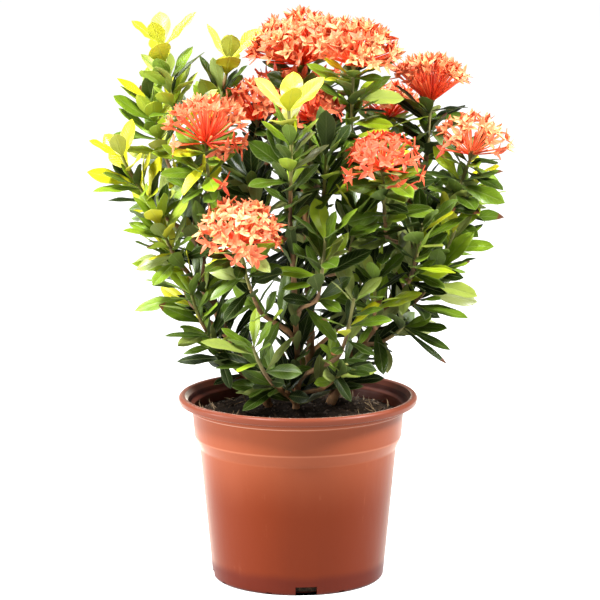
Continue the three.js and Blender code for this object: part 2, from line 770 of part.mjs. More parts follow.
// Draws one face of the head's heart out into a tube with a four-lobed star at its end.
function growFloret(skin, socket, centre, distance, size, seed) {
  const middle = new THREE.Vector3();
  for (const i of socket) middle.addScaledVector(skin.points[i], 1 / socket.length);
  const way = middle.clone().sub(centre).normalize();
  const across = squareTo(skin.points[socket[0]].clone().sub(middle), way);
  const star = (raise, radius, turn) => {
    const level = centre.clone().addScaledVector(way, distance + raise);
    return skin.loop(ringAt(level, across, way, radius, 4, turn));
  };
  const lift = FLORET.thickness / 2 + FLORET.cup * spread(seed, 2);
  const throat = star(0, size * FLORET.throat, 0);
  const rim = star(FLORET.thickness, size * FLORET.throat, 0);
  const tips = star(lift, size * mix(...FLORET.spread, scatter(seed, 3)), Math.PI / 4);
  skin.wall(socket, throat);
  for (let i = 0; i < 4; i++) {
    const next = (i + 1) % 4;
    skin.face(throat[i], throat[next], tips[i]);
    skin.face(throat[i], tips[i], rim[i]);
    skin.face(tips[i], throat[next], rim[next]);
    skin.face(rim[i], tips[i], rim[next]);
  }
  skin.quad(...rim);
}

// A head of florets over a small heart: two rows round it and two florets on its crown.
function planBloom(name, seat, facing, radius, edge, around, seed) {
  const axis = vec(facing).normalize();
  const across = squareTo(new THREE.Vector3(1, 0, 0), axis);
  const centre = seat.clone().addScaledVector(axis, GAP + HEAD.neck);
  const skin = new Skin();
  const halfStep = Math.PI / around;
  const ring = ({ polar, share }, turn) => {
    const angle = radians(edge * polar);
    const level = centre.clone().addScaledVector(axis, radius * share * Math.cos(angle));
    return skin.loop(ringAt(level, across, axis, radius * share * Math.sin(angle), around, turn));
  };
  const stalk = skin.loop(ringAt(seat.clone().addScaledVector(axis, GAP), across, axis, HEAD.stalk, around));
  const rings = HEAD.rings.map((level, i) => ring(level, i * halfStep));
  const crown = rings[2];
  skin.lid([...stalk].reverse());
  skin.wall(stalk, rings[0]);
  const crowding = Math.min(1, edge / FLORET.fullEdge);
  const size = Math.min(FLORET.radius, radius * FLORET.mostOfHead) * crowding;
  for (let row = 0; row < 2; row++) {
    for (let k = 0; k < around; k++) {
      const next = (k + 1) % around;
      const socket = [rings[row][k], rings[row][next], rings[row + 1][next], rings[row + 1][k]];
      const floret = seed * 31 + row * around + k;
      growFloret(skin, socket, centre, radius * mix(...HEAD.reach, scatter(floret, 1)), size, floret);
    }
  }
  [crown.slice(0, 4), [crown[3], crown[4], crown[5], crown[0]]].forEach((socket, i) => {
    const floret = seed * 31 + 20 + i;
    growFloret(skin, socket, centre, radius * HEAD.topReach[i], size * HEAD.topSize, floret);
  });
  if (around > 6) skin.face(crown[5], crown[6], crown[0]);
  return { name, skin };
}

// ---------------------------------------------------------------------------
// The whole plant
// ---------------------------------------------------------------------------

function makePlant() {
  const trunks = Object.keys(TRUNKS).map(makeTrunk);
  const shoots = SHOOTS.map(([name, , , foot, tip, counts, leaf, tone], i) => {
    return planStem(`shoot_${name}`, foot, tip, counts, leaf, tone, i + 1);
  });
  const shootOf = (name) => SHOOTS.find((row) => row[0] === name);
  const young = YOUNG.map(([name, parent, tip, counts, leaf], i) => {
    const [, , , parentFoot, parentTip] = shootOf(parent);
    const way = stemCurve(parentFoot, parentTip).getTangent(1).normalize();
    const foot = vec(parentTip).addScaledVector(way, GAP);
    return planStem(name, foot.toArray(), tip, counts, leaf, 'young', YOUNG_SEED + i);
  });
  const blooms = BLOOMS.map(([name, parent, facing, radius, edge, around], i) => {
    return planBloom(name, vec(shootOf(parent)[4]), facing, radius, edge, around, i + 1);
  });
  for (const { name, skin } of [...shoots, ...young, ...blooms]) occupy(trianglesOf(skin), name, false);
  for (const stem of [...young, ...shoots]) growLeaves(stem);
  return [
    ...trunks,
    ...[...shoots, ...young].map((stem) => piece(stem.name, stem.skin.geometry(), foliage(stem.tone))),
    ...blooms.map((bloom) => piece(bloom.name, bloom.skin.geometry(), petal())),
  ];
}

const ixora = new THREE.Group();
const pot = makePot();
const soil = makeSoil();
occupyGeometry('pot', pot.geometry);
occupyGeometry('soil', soil.geometry);
ixora.add(pot, soil, ...makePlant());

export default ixora;
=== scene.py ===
"""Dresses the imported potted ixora: pot, potting mix, trunks, leafy shoots, young tips and flower heads."""

import math

import bpy
import numpy as np
from bpy.props import FloatProperty, FloatVectorProperty, IntProperty, PointerProperty
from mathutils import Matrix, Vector, noise
from mathutils.kdtree import KDTree


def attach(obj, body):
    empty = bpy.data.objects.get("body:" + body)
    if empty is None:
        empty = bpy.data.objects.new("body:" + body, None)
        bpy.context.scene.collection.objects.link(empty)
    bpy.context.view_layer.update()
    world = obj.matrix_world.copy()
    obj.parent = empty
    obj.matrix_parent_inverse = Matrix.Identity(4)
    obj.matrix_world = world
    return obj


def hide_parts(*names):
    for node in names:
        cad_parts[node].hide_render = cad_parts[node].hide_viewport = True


bl_info = {
    "name": "Potted Ixora",
    "version": (1, 0, 0),
    "blender": (4, 5, 0),
    "location": "3D View > Sidebar > Ixora",
    "description": "Builds a flowering ixora in its nursery pot around the packed frame",
    "category": "Object",
}

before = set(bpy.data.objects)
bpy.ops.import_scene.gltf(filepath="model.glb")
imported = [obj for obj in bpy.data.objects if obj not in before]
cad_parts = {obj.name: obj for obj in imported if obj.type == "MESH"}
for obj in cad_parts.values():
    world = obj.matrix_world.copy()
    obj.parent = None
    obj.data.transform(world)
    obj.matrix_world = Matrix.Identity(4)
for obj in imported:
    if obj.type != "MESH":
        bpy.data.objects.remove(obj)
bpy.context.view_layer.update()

MM = 0.001
BODY = "root"
UP = np.array([0.0, 0.0, 1.0])
RIGHT = np.array([1.0, 0, 0])
LIGHT = np.array([-0.3, -0.62, 0.72])  # the way to the light that the leaves face

# ---------------------------------------------------------------------------
# How the bush stands, in millimetres: the same places and growth rule as its solids
# ---------------------------------------------------------------------------

GAP = 0.3
HOLE_DEPTH = 12
MIX_LEVEL = 131  # where the potting mix meets the pot's wall

POT_OUTSIDE = [(66.9, 0), (68.3, 1.6), (78.3, 105.5), (82.4, 114.6), (84.1, 135.6), (87.9, 137), (88.6, 140.7),
               (94.4, 141), (95, 145.4), (93.2, 147.5), (90, 147.1), (89.1, 145.4)]
POT_INSIDE = [(86.4, 141.4), (85.8, 139.6), (82.2, 138.4), (80.2, 115.4), (76.2, 106.2), (66.4, 2.5)]
SLOT = {"width": 17, "height": 7, "depth": 9, "angle": 5.5}
NOTCH = {"width": 5, "height": 1.8, "depth": 2.4, "spread": 25}
POT_CREASE = 35  # degrees between faces from which an edge of the pot is sharp

# Each trunk: its path from the ground up, and its radius at its foot and at its top.
TRUNKS = {
    "trunk_left": ([(-22, 18, 131), (-42, 12, 172), (-62, 4, 206), (-78, 2, 262), (-82, 2, 325)], 4.0, 2.2),
    "trunk_centre": ([(8, 32, 131), (10, 26, 190), (8, 18, 250), (4, 12, 318)], 4.4, 2.2),
    "trunk_right": ([(25, 28, 131), (46, 24, 176), (68, 18, 208), (90, 12, 252), (98, 12, 300)], 4.4, 2.2),
    "trunk_front": ([(-2, 2, 131), (0, -14, 165), (-2, -30, 215), (-4, -38, 270)], 3.0, 2.0),
    "trunk_back": ([(4, 52, 131), (0, 60, 180), (0, 66, 245), (-4, 62, 300)], 3.6, 2.2),
}

# Each leafy shoot: its trunk and the share of the trunk where its branch starts, its foot and tip, the
# leaves in each band, the leaf length and the tone.
SHOOTS = [
    ("left_1", "trunk_left", 0.42, (-70, -10, 196), (-84, -18, 232), (2, 2, 4), 40, "mid"),
    ("left_2", "trunk_left", 0.46, (-86, 4, 222), (-100, 2, 262), (2, 2, 4), 40, "light"),
    ("left_3", "trunk_left", 0.62, (-92, -22, 256), (-108, -32, 292), (2, 4, 4), 38, "lime"),
    ("left_4", "trunk_left", 0.8, (-101, -8, 288), (-125, -16, 318), (2, 2, 4), 37, "lime"),
    ("left_5", "trunk_left", 0.9, (-98, 2, 322), (-116, -2, 386), (4, 4, 4, 4), 37, "lime"),
    ("left_6", "trunk_left", 0.99, (-88, -10, 346), (-101, -20, 402), (2, 4, 4), 37, "lime"),
    ("left_7", "trunk_left", 0.97, (-70, 30, 340), (-60, 44, 386), (2, 4, 4), 38, "light"),
    ("left_8", "trunk_left", 0.72, (-68, -38, 300), (-70, -53, 350), (2, 2, 4), 39, "mid"),
    ("left_9", "trunk_left", 0.84, (-50, 20, 312), (-32, 18, 358), (2, 4), 37, "deep"),
    ("left_10", "trunk_left", 0.5, (-74, 32, 240), (-88, 50, 284), (2, 2, 4), 40, "mid"),
    ("front_1", "trunk_front", 0.98, (-6, -58, 300), (-5, -74, 360), (2, 4, 4), 38, "mid"),
    ("front_2", "trunk_front", 0.74, (16, -62, 238), (21, -80, 286), (2, 2, 4), 40, "mid"),
    ("front_3", "trunk_front", 0.42, (34, -50, 192), (43, -66, 236), (2, 4), 36, "light"),
    ("front_4", "trunk_front", 0.28, (-20, -40, 164), (-35, -62, 198), (2, 2, 4), 39, "mid"),
    ("front_5", "trunk_front", 0.3, (-8, -12, 148), (-20, -34, 164), (2, 2), 42, "deep"),
    ("front_6", "trunk_front", 0.62, (-30, -58, 226), (-44, -82, 277), (2, 4), 40, "mid"),
    ("front_7", "trunk_left", 0.24, (-50, -16, 172), (-68, -34, 202), (2, 2), 40, "deep"),
    ("front_8", "trunk_front", 0.34, (20, -30, 158), (38, -52, 182), (2, 2), 38, "mid"),
    ("centre_1", "trunk_centre", 0.98, (3, 24, 338), (4, 48, 399), (2, 4, 2), 37, "deep"),
    ("centre_2", "trunk_centre", 0.94, (9, 4, 320), (10, -10, 362), (2, 4), 37, "deep"),
    ("centre_3", "trunk_centre", 0.8, (18, -28, 296), (22, -46, 346), (2, 4, 4), 39, "mid"),
    ("centre_4", "trunk_centre", 0.66, (36, -26, 254), (46, -46, 300), (2, 2, 4), 40, "mid"),
    ("centre_5", "trunk_centre", 0.74, (-24, -22, 282), (-37, -40, 328), (2, 4, 4), 39, "deep"),
    ("right_1", "trunk_right", 0.66, (92, -6, 222), (109, -16, 250), (2, 2, 4), 43, "mid"),
    ("right_2", "trunk_right", 0.76, (106, 0, 246), (123, -12, 281), (2, 4, 2), 39, "light"),
    ("right_3", "trunk_right", 0.86, (112, 14, 276), (134, 8, 306), (2, 4), 37, "mid"),
    ("right_4", "trunk_right", 0.4, (66, 6, 188), (84, -6, 204), (2, 2), 44, "deep"),
    ("right_5", "trunk_right", 0.5, (60, -22, 208), (60, -44, 248), (2, 2, 4), 40, "mid"),
    ("right_6", "trunk_right", 0.99, (100, 14, 318), (104, 15, 373), (2, 4, 2), 37, "deep"),
    ("right_7", "trunk_right", 0.92, (114, -10, 296), (134, -14, 336), (2, 2, 2), 39, "mid"),
    ("right_8", "trunk_right", 0.8, (68, -44, 284), (65, -66, 332), (2, 2, 4), 39, "mid"),
    ("right_9", "trunk_centre", 0.9, (40, -6, 344), (43, -20, 406), (2, 4, 4), 37, "mid"),
    ("right_10", "trunk_right", 0.93, (76, 42, 312), (72, 56, 356), (2, 4), 37, "mid"),
    ("right_11", "trunk_right", 0.6, (84, 42, 250), (98, 60, 296), (2, 2, 4), 40, "mid"),
    ("right_12", "trunk_right", 0.7, (88, -34, 248), (96, -52, 292), (2, 2, 4), 39, "mid"),
    ("back_1", "trunk_back", 0.6, (-26, 80, 246), (-46, 96, 292), (2, 4, 4), 40, "mid"),
    ("back_2", "trunk_back", 0.98, (6, 76, 312), (12, 86, 364), (2, 4, 4), 39, "light"),
    ("back_3", "trunk_back", 0.36, (34, 76, 188), (54, 88, 230), (2, 2, 4), 40, "deep"),
]
SHOOT_TIPS = {row[0]: np.array(row[4], float) for row in SHOOTS}

# Young tips: the shoot that carries each, its tip, the leaves in each band and the leaf length.
YOUNG = [
    ("young_1", "left_6", (-105, -21, 427), (2, 4), 40),
    ("young_2", "left_7", (-55, 46, 410), (2, 4), 40),
    ("young_3", "left_4", (-137, -20, 341), (2, 4), 35),
    ("young_4", "front_1", (-7, -77, 384), (2, 4), 40),
    ("young_5", "right_3", (143, 5, 325), (2, 2), 22),
]
YOUNG_BREADTH = 1.22

# Single florets caught among the leaves: the head they belong to, and the foot and end of their tube.
STRAY = [("bloom_7", (-52.2, -64.5, 334.7), (-57, -80, 327))]

# Flower heads: the shoot that carries each, the way it faces, its radius, the degrees from its axis to the
# edge of its heart, its florets, how far its colour goes from red (0) to pale cream (1), and how many degrees
# its petals rise from flat.
BLOOMS = [
    ("bloom_1", "centre_1", (-0.06, 0.05, 1), 44, 92, 142, 0.62, 42),
    ("bloom_2", "right_9", (0.12, -0.1, 1), 36, 90, 96, 0.64, 42),
    ("bloom_3", "right_6", (0.04, -0.05, 1), 36, 66, 90, 0.68, 50),
    ("bloom_4", "right_7", (0.2, -0.2, 1), 32, 80, 34, 0.8, 34),
    ("bloom_5", "right_8", (-0.08, -0.3, 1), 33, 90, 36, -0.2, 14),
    ("bloom_6", "front_6", (0, -0.42, 1), 33, 92, 60, 0.66, 26),
    ("bloom_7", "left_8", (-0.04, -0.2, 1), 35, 72, 52, 0.55, 42),
    ("bloom_8", "left_9", (-0.1, -0.1, 1), 31, 86, 44, 0.55, 30),
    ("bloom_9", "right_10", (0.05, 0.2, 1), 27, 90, 36, 0.62, 30),
    ("bloom_10", "centre_2", (0, -0.3, 1), 25, 90, 30, 0.2, 24),
]

# How pale a head's tubes are, from red (0) to peach (1), the share of the usual number of buds inside it, how
# high its crown stands as a share of its radius, and how far its florets may lean to the front, where 1 is all
# the way. A head that isn't listed has PLAIN_HEAD.
PLAIN_HEAD = (0, 1, 1, 1)
HEAD_DETAIL = {
    "bloom_1": (0.1, 1, 0.96, 1),
    "bloom_2": (0.4, 1, 0.96, 1),
    "bloom_3": (0, 0.3, 0.97, 0.56),
    "bloom_4": (0.9, 0.3, 0.96, 0.82),
    "bloom_5": (0.3, 0.6, 0.8, 1),
    "bloom_6": (0.6, 0.8, 1, 1),
    "bloom_7": (0.1, 0.4, 0.95, 0.58),
}

# Florets that hang below the rest of a head: the way round from its right, the degrees from its axis and
# the share of its radius that they reach.
HANGING = {
    "bloom_1": [(-165, 98, 0.8), (-150, 103, 0.72), (-135, 100, 0.66), (-120, 106, 0.7), (-105, 101, 0.62),
                (-90, 106, 0.6), (-60, 103, 0.62), (-30, 100, 0.7), (-158, 114, 0.66), (-140, 118, 0.58),
                (-125, 113, 0.5), (-100, 116, 0.56), (-172, 108, 0.74), (160, 106, 0.7)],
    "bloom_4": [(-160, 84, 0.72)],
    "bloom_5": [(-15, 98, 0.92), (-40, 108, 0.8), (-62, 100, 0.72), (-150, 84, 0.86), (-165, 96, 0.88)],
    "bloom_6": [(-100, 90, 0.72), (-60, 88, 0.76)],
    "bloom_7": [(-40, 98, 0.6), (-65, 94, 0.55), (-150, 82, 0.8), (-22, 84, 0.86), (-38, 76, 0.8),
                (-12, 96, 0.78), (-52, 86, 0.74)],
}

# Leaves that stand clear of the rest: the node they belong to, foot, tip, width, tone and random number.
LONE_LEAVES = [
    ("shoot_front_5", (-15, -33, 160.4), (-43, -60, 147), 13, 0.1, 0.5),
    ("shoot_front_7", (-61.8, -25.6, 185.4), (-53, -32, 158), 11, 0.07, 0.5),
    ("shoot_right_4", (82.6, -5.1, 201.8), (118, -12, 174), 6, 0.12, 0.97),
    ("shoot_right_4", (84, -7, 203), (120, -20, 187), 9, 0.2, 0.5),
    ("shoot_right_4", (84, -8, 203), (105, -20, 213), 12, 0.42, 0.5),
    ("shoot_left_4", (-126, -16, 319), (-164, -24, 329), 13, 0.93, 0.5),
    ("shoot_left_1", (-75.4, -12.8, 207), (-109, -20, 223), 17, 0.4, 0.99),
    ("shoot_left_1", (-71, -12, 200), (-94, -34, 193), 15, 0.46, 0.03),
    ("shoot_right_3", (134, 8, 306), (150, -6, 314), 11, 0.8, 0.5),
    ("shoot_right_8", (65.8, -63.7, 325.4), (36, -76, 325), 15, 0.34, 0.5),
    ("shoot_right_8", (66, -62, 316), (92, -74, 324), 10, 0.5, 0.03),
    ("shoot_right_8", (66, -63.5, 324.7), (106, -62, 329), 14, 0.05, 0.5),
    ("shoot_right_8", (64.1, -61.9, 331.4), (40, -44, 338), 16, 0.12, 0.5),
    ("shoot_right_8", (67.4, -51.5, 325.4), (95, -40, 337), 16, 0.16, 0.5),
    ("shoot_centre_1", (3.5, 28.5, 386.4), (-24, 14, 401), 15, 0.14, 0.5),
    ("shoot_centre_1", (4.8, 27.7, 387.6), (33, 16, 398), 15, 0.2, 0.5),
    ("shoot_centre_1", (2.6, 27.4, 387.4), (-8, -2, 396), 15, 0.26, 0.5),
]

# The rule that stems, branches and leaves grow by, with angles in degrees. LOOSE is how far a leaf may stray:
# on any try, and what its last try may add, when it is also shorter by LAST_SHRINK.
STEM = {"radius": 1.35, "taper": 0.75, "sideways": 0.62, "upwards": 0.4, "band_height": 1.8, "top_band": 0.95,
        "band_spread": 0.8, "band_crowding": 0.85}
BRANCH = {"root_radius": 2.2, "tip_radius": 1.6, "leave": 0.35, "arrive": 0.3}
POISE = {"low_rise": 24, "crown_rise": 50, "crown_ease": 1.5, "lightward": 0.8, "length": (0.86, 1.08),
         "crown_length": 0.86, "width": (0.9, 1.12), "droop": (0.02, 0.16), "droop_low": 1.3, "droop_lost": 0.6,
         "fold": (0.08, 0.24), "width_to_length": 0.4, "tries": 26}
LOOSE = {"turn": (12, 60), "rise": (9, 46), "roll": (16, 40)}
LAST_SHRINK = 0.25
HEAD_NECK = 5  # from a flower head's foot to its centre

TIP_MATCH = 0.05  # how near a leaf's tip has to be to a corner of its solid

# The leaves that thicken the bush. The last three values keep their tips inside its outline.
SPARE = {"tries": 9, "clearance": 2.6, "turn": 0.24, "low_rise": 26, "top_rise": 62, "rise_under_head": 10,
         "rise": 28, "slide": 0.035, "length": (0.6, 1.1), "width": (0.74, 1.08), "droop": (0.03, 0.24),
         "lightward": (0.3, 1.3), "roll": 20, "half_width": 163, "half_depth": 126, "lowest": 150}
# Where they stand: the shares of a stem or branch that they take, and the steps between pairs in millimetres.
# The least steps are shares too.
SPARE_ROWS = {"stem": (0.1, 0.96), "low_step": 11.0, "low_right_step": 9, "least": 0.06,
              "under_head": [0.9, 0.94, 0.98], "branch": (0.8, 0.34), "top": 0.97, "branch_step": 10.0,
              "branch_least": 0.09}
# Leaves on the trunks are painted darker than the deep tone: painted shade.
TRUNK_LEAF = {"length": 36, "darker": 0.08}

# Stretches of the bush in millimetres: each grows from nothing at its first value to full at its second.
UPPER_BUSH = (190, 280)
LOWER_RIGHT = {"side": (40, 80), "height": (235, 195)}
INNER_BUSH = {"side": (62, 32), "depth": (-60, -30)}
# The last three stretches are where leaves are painted darker: painted shade low down and in the bush's heart.
SHADY_LOW = (212, 162)
PAINTED_SHADE_HEART = {"side": (75, 25), "depth": (-50, 0)}
PAINTED_SHADE_CORE = {"side": (58, 33), "foot": (225, 255), "top": (385, 360)}

# Leaf tones from darkest (0) to the young leaves' yellow (1), and what moves a leaf's own tone off them. The
# deep tone and the low and heart shifts are painted shade, and the sun shift is painted light.
TONES = {"deep": 0.17, "mid": 0.41, "light": 0.51, "lime": 0.51, "young": 0.95}
LEAF_SLOTS = {tone: "leaf_" + tone for tone in TONES}
TONE_SHIFT = {"crown": 0.12, "sun": 0.13, "own": 0.5, "own_lime": 0.58, "low": 0.22, "heart": 0.15,
              "all": 0.015}
SUN = {"left": 0.09, "up": 0.6, "front": 0.3, "middle": 270, "half_width": 150, "half_height": 150,
       "half_depth": 120}

# How a leaf's blade is shaped, beyond what its solid has. Its breadth goes from low leaves to high ones.
BLADE = {"breadth": (0.78, 0.98), "low_and_high": (190, 310), "rib": 0.35, "waves": (1.4, 2.6), "wave": 0.05,
         "cup": 0.09, "twist": 24, "thin_edge": 0.7}

# How bark and stem skin are shaped along a trunk, a branch and a leafy stem.
WOOD = {"step": 3.5, "flare": 0.5, "flare_height": 22, "flare_limit": 1.12, "joint": 15, "branch_joint": 13,
        "knot": 0.2, "uneven": 0.1}
STEM_SKIN = {"step": 4, "joint_height": 2.2, "taper": (1.12, 0.85), "swell": 0.3}

# Round parts of a flower head: the shares of their length and their radii there.
TUBE = ([0, 0.3, 0.65, 0.9, 1.0], [0.5, 0.55, 0.65, 0.75, 1.1])
LONG_BUD = ([0, 0.3, 0.6, 0.78, 0.86, 0.93, 1.0], [0.5, 0.5, 0.6, 0.8, 1.25, 1.1, 0.15])
INNER_BUD = ([0, 0.4, 0.8, 0.92, 1.0], [0.5, 0.6, 0.75, 1.15, 0.2])
STALK = ([0, 0.5, 1], [0.9, 0.7, 0.85])
STYLE = ([0, 1], [0.32, 0.24])

# How florets vary, with angles in degrees. A tube starts a little way out from the head's centre.
TUBE_START = 1.5
FLORET = {"bow": 1.6, "budded": 0.06, "tilt": 18, "petal_tilt": 16, "petal_turn": 0.16, "length": (0.88, 1.12),
          "width": (0.4, 0.52), "curl": 0.16, "throat": 0.5, "style": 3.4}
PETAL = {"hollow": 0.3, "half_thickness": 0.19, "thin_edge": 0.6, "warp": 0.5}
HANGING_LOOK = {"tint": 0.12, "rise": 8}
STRAY_LOOK = {"tint": 0.0, "rise": 12}
GOLDEN = 3 - math.sqrt(5)  # of half a turn: the way round from one floret to the next

# The potting mix: its underside, its waist at the pot's step, the room it leaves to the wall, and its lumps.
MIX = {"foot": 2.9, "foot_room": 0.8, "waist": 105, "waist_room": 0.6, "top_room": 0.5, "lumps": 1.3,
       "mound": 3, "crumbs": 1.5, "rings": 46, "segments": 120}
# Loose crumbs and fibres on the mix.
CRUMB = {"reach": 0.97, "lift": 0.3, "size": (0.6, 1.7), "stretch": (0.6, 1.5), "knobs": (0.75, 1.15)}
CRUMB_POINTS = [(0, 0, 1), (0.9, 0, 0.2), (0.3, 0.9, 0.1), (-0.8, 0.5, 0.2), (-0.7, -0.6, 0.1),
                (0.3, -0.9, 0.2), (0, 0, -1)]
CRUMB_FACES = np.array([(0, 1, 2), (0, 2, 3), (0, 3, 4), (0, 4, 5), (0, 5, 1), (6, 2, 1), (6, 3, 2), (6, 4, 3),
                        (6, 5, 4), (6, 1, 5)])
FIBRE = {"reach": (0.55, 0.96), "spread": 0.6, "inward": 0.96, "sunk": 0.4, "length": (4, 13), "off_wall": 2.5,
         "bow": 0.25, "radii": (0.3, 0.35, 0.3, 0.25, 0.12), "thickness": (0.7, 1.5), "paleness": (0.35, 1)}

# The stage, in metres. Each lamp has its size and its place.
LAMPS = {
    "key": (0.4, (-1.0, -0.8, 2.05)),
    "fill": (1.2, (1.3, -1.6, 0.9)),
    "back": (0.8, (-1.0, 0.9, 1.5)),
    "side": (0.5, (1.5, -0.4, 1.7)),
    "low": (0.7, (-1.5, -0.3, 0.22)),
}
LAMPS_AIM = (0, 0, 0.25)
FLOOR = {"reach": 14.0, "below": 0.0003}
CAMERA = {"lens": 192.63, "sensor": 36, "place": (0.0016, -2.5, 0.6754), "looks_down": 0.179}

# Where each kind of part starts in the row of random numbers.
SEEDS = {"young": 61, "lone": 4000, "branch": 300, "trunk": 900, "trunk_step": 40, "head_step": 211,
         "hanging": 150, "bud": 5000, "stray": 9000}


# ---------------------------------------------------------------------------
# Vectors and curves
# ---------------------------------------------------------------------------

def mix(a, b, t):
    return a + (b - a) * t


def part_way(value, start, end):
    """How far a value has come from start to end, kept from 0 to 1."""
    return float(np.clip((value - start) / (end - start), 0, 1))


def scatter(seed, salt):
    """A repeatable number from 0 to 1."""
    wave = math.sin(seed * 12.9898 + salt * 78.233) * 43758.5453
    return wave - math.floor(wave)


def spread(seed, salt):
    """A repeatable number from -1 to 1."""
    return scatter(seed, salt) * 2 - 1


def unit(v):
    return v / np.linalg.norm(v)


def square_to(v, axis):
    """The unit vector nearest to v that is square to a unit axis."""
    return unit(v - axis * np.dot(v, axis))


def turned(v, axis, angle):
    """v turned about a unit axis."""
    cosine, sine = math.cos(angle), math.sin(angle)
    return v * cosine + np.cross(axis, v) * sine + axis * np.dot(axis, v) * (1 - cosine)


class Bezier:
    """A Bezier curve through three or four control points."""

    def __init__(self, *controls):
        self.controls = [np.array(c, float) for c in controls]

    def point(self, t):
        level = self.controls
        while len(level) > 1:
            level = [mix(a, b, t) for a, b in zip(level, level[1:])]
        return level[0]

    def way(self, t):
        low, high = max(t - 1e-4, 0), min(t + 1e-4, 1)
        return unit(self.point(high) - self.point(low))

    def length(self):
        points = [self.point(i / 200) for i in range(201)]
        return sum(np.linalg.norm(b - a) for a, b in zip(points, points[1:]))


class Spline(Bezier):
    """A centripetal Catmull-Rom curve that passes through every point."""

    def point(self, t):
        knots = self.controls
        last = len(knots) - 1
        at = min(int(last * t), last - 1)
        weight = last * t - at
        p1, p2 = knots[at], knots[at + 1]
        p0 = knots[at - 1] if at > 0 else 2 * p1 - p2
        p3 = knots[at + 2] if at + 2 <= last else 2 * p2 - p1
        d0, d1, d2 = (math.sqrt(np.linalg.norm(b - a)) for a, b in ((p0, p1), (p1, p2), (p2, p3)))
        m1 = ((p1 - p0) / d0 - (p2 - p0) / (d0 + d1) + (p2 - p1) / d1) * d1
        m2 = ((p2 - p1) / d1 - (p3 - p1) / (d1 + d2) + (p3 - p2) / d2) * d1
        w2, w3 = weight * weight, weight ** 3
        return (p1 + m1 * weight + (3 * (p2 - p1) - 2 * m1 - m2) * w2 + (2 * (p1 - p2) + m1 + m2) * w3)


def frames_along(curve, shares):
    """(centre, along, across) at each share, with no twist."""
    across, found = None, []
    for share in shares:
        along = curve.way(share)
        if across is None:
            across = RIGHT if abs(along[2]) > 0.9 else UP
        across = square_to(across, along)
        found.append((curve.point(share), along, across))
    return found


def ring_at(centre, across, axis, radius, sides, turn=0.0):
    side = np.cross(axis, across)
    angles = turn + 2 * math.pi * np.arange(sides) / sides
    return centre + radius * (np.outer(np.cos(angles), across) + np.outer(np.sin(angles), side))


def stem_curve(foot, tip):
    """A leafy stem's middle line, which leans out first and then rises."""
    start, end = np.array(foot, float), np.array(tip, float)
    elbow = mix(start, end, STEM["sideways"])
    elbow[2] = mix(start[2], end[2], STEM["upwards"])
    return Bezier(start, elbow, end)


def trunk_curve(path):
    """A trunk's middle line, from the foot of its hole in the potting mix."""
    ground, next_point = np.array(path[0], float), np.array(path[1], float)
    return Spline(ground - unit(next_point - ground) * HOLE_DEPTH, *path)


def branch_curve(path, share, foot, tip):
    """The woody branch from a share of a trunk to a leafy stem's foot."""
    main, way = trunk_curve(path), stem_curve(foot, tip).way(0)
    start, end = main.point(share), np.array(foot, float)
    reach = np.linalg.norm(end - way * GAP - start)
    leave, arrive = main.way(share) * reach * BRANCH["leave"], way * reach * BRANCH["arrive"]
    return Bezier(start, start + leave, end - arrive, end)


# ---------------------------------------------------------------------------
# Where the leaves stand
# ---------------------------------------------------------------------------

def plan_stem(foot, tip, counts, leaf, seed):
    """The stem's curve and the bands where its leaves leave it."""
    curve = stem_curve(foot, tip)
    half = STEM["band_height"] / 2 / curve.length()
    total = len(counts)
    shares = [STEM["top_band"] - STEM["band_spread"] * ((total - 1 - i) / total) ** STEM["band_crowding"]
              for i in range(total)]
    stops = [0.0] + [s + d for s in shares for d in (-half, half)] + [1.0]
    frames = frames_along(curve, stops)
    rings = [ring_at(centre, across, along, STEM["radius"] * mix(1, STEM["taper"], stop), 4, math.pi / 4)
             for (centre, along, across), stop in zip(frames, stops)]
    bands = [{"count": count, "frame": frames[2 * i + 1], "lower": rings[2 * i + 1], "upper": rings[2 * i + 2]}
             for i, count in enumerate(counts)]
    return {"curve": curve, "bands": bands, "leaf": leaf, "seed": seed, "shares": shares}


def leaf_form(stem, band, side, attempt):
    """One leaf on one try, by the rule that the solids grow by."""
    seed = stem["seed"] * 101 + band * 11 + side * 3
    restless = attempt / POISE["tries"]

    def loose(kind, salt):
        free, last = LOOSE[kind]
        return free * spread(seed, salt) + last * spread(seed, salt * 10 + attempt) * restless

    _, up_stem, across = stem["bands"][band]["frame"]
    crown = (band + 1) / len(stem["bands"])
    outward = ring_at(np.zeros(3), across, up_stem, 1, 4, math.pi / 2)[side]
    outward = turned(outward, up_stem, math.radians(loose("turn", 1)))
    rise = mix(POISE["low_rise"], POISE["crown_rise"], crown ** POISE["crown_ease"]) + loose("rise", 2)
    cosine, sine = math.cos(math.radians(rise)), math.sin(math.radians(rise))
    along = outward * cosine + up_stem * sine
    face = square_to(up_stem * cosine - outward * sine + LIGHT * POISE["lightward"], along)
    face = turned(face, along, math.radians(loose("roll", 3)))
    shrunk = (POISE["crown_length"] if crown == 1 else 1) * (1 - LAST_SHRINK * restless)
    length = stem["leaf"] * mix(*POISE["length"], scatter(seed, 4)) * shrunk
    lower, upper = stem["bands"][band]["lower"], stem["bands"][band]["upper"]
    after = (side + 1) % 4
    return {
        "root": (lower[side] + lower[after] + upper[after] + upper[side]) / 4,
        "along": along,
        "face": face,
        "length": length,
        "width": length * POISE["width_to_length"] * mix(*POISE["width"], scatter(seed, 5)),
        "droop": mix(*POISE["droop"], scatter(seed, 6)) * (POISE["droop_low"] - POISE["droop_lost"] * crown),
        "fold": mix(*POISE["fold"], scatter(seed, 7)),
        "seed": seed,
    }


def leaf_place(leaf, share, side=0.0):
    """A point of a leaf's middle surface, at a share of its length and of its half width."""
    half = leaf["width"] / 2 * float(leaf_outline(np.array([share]))[0])
    across = np.cross(leaf["face"], leaf["along"])
    lift = abs(side) * half * leaf["fold"] - leaf["droop"] * share * share * leaf["length"]
    return leaf["root"] + leaf["along"] * share * leaf["length"] + across * side * half + leaf["face"] * lift


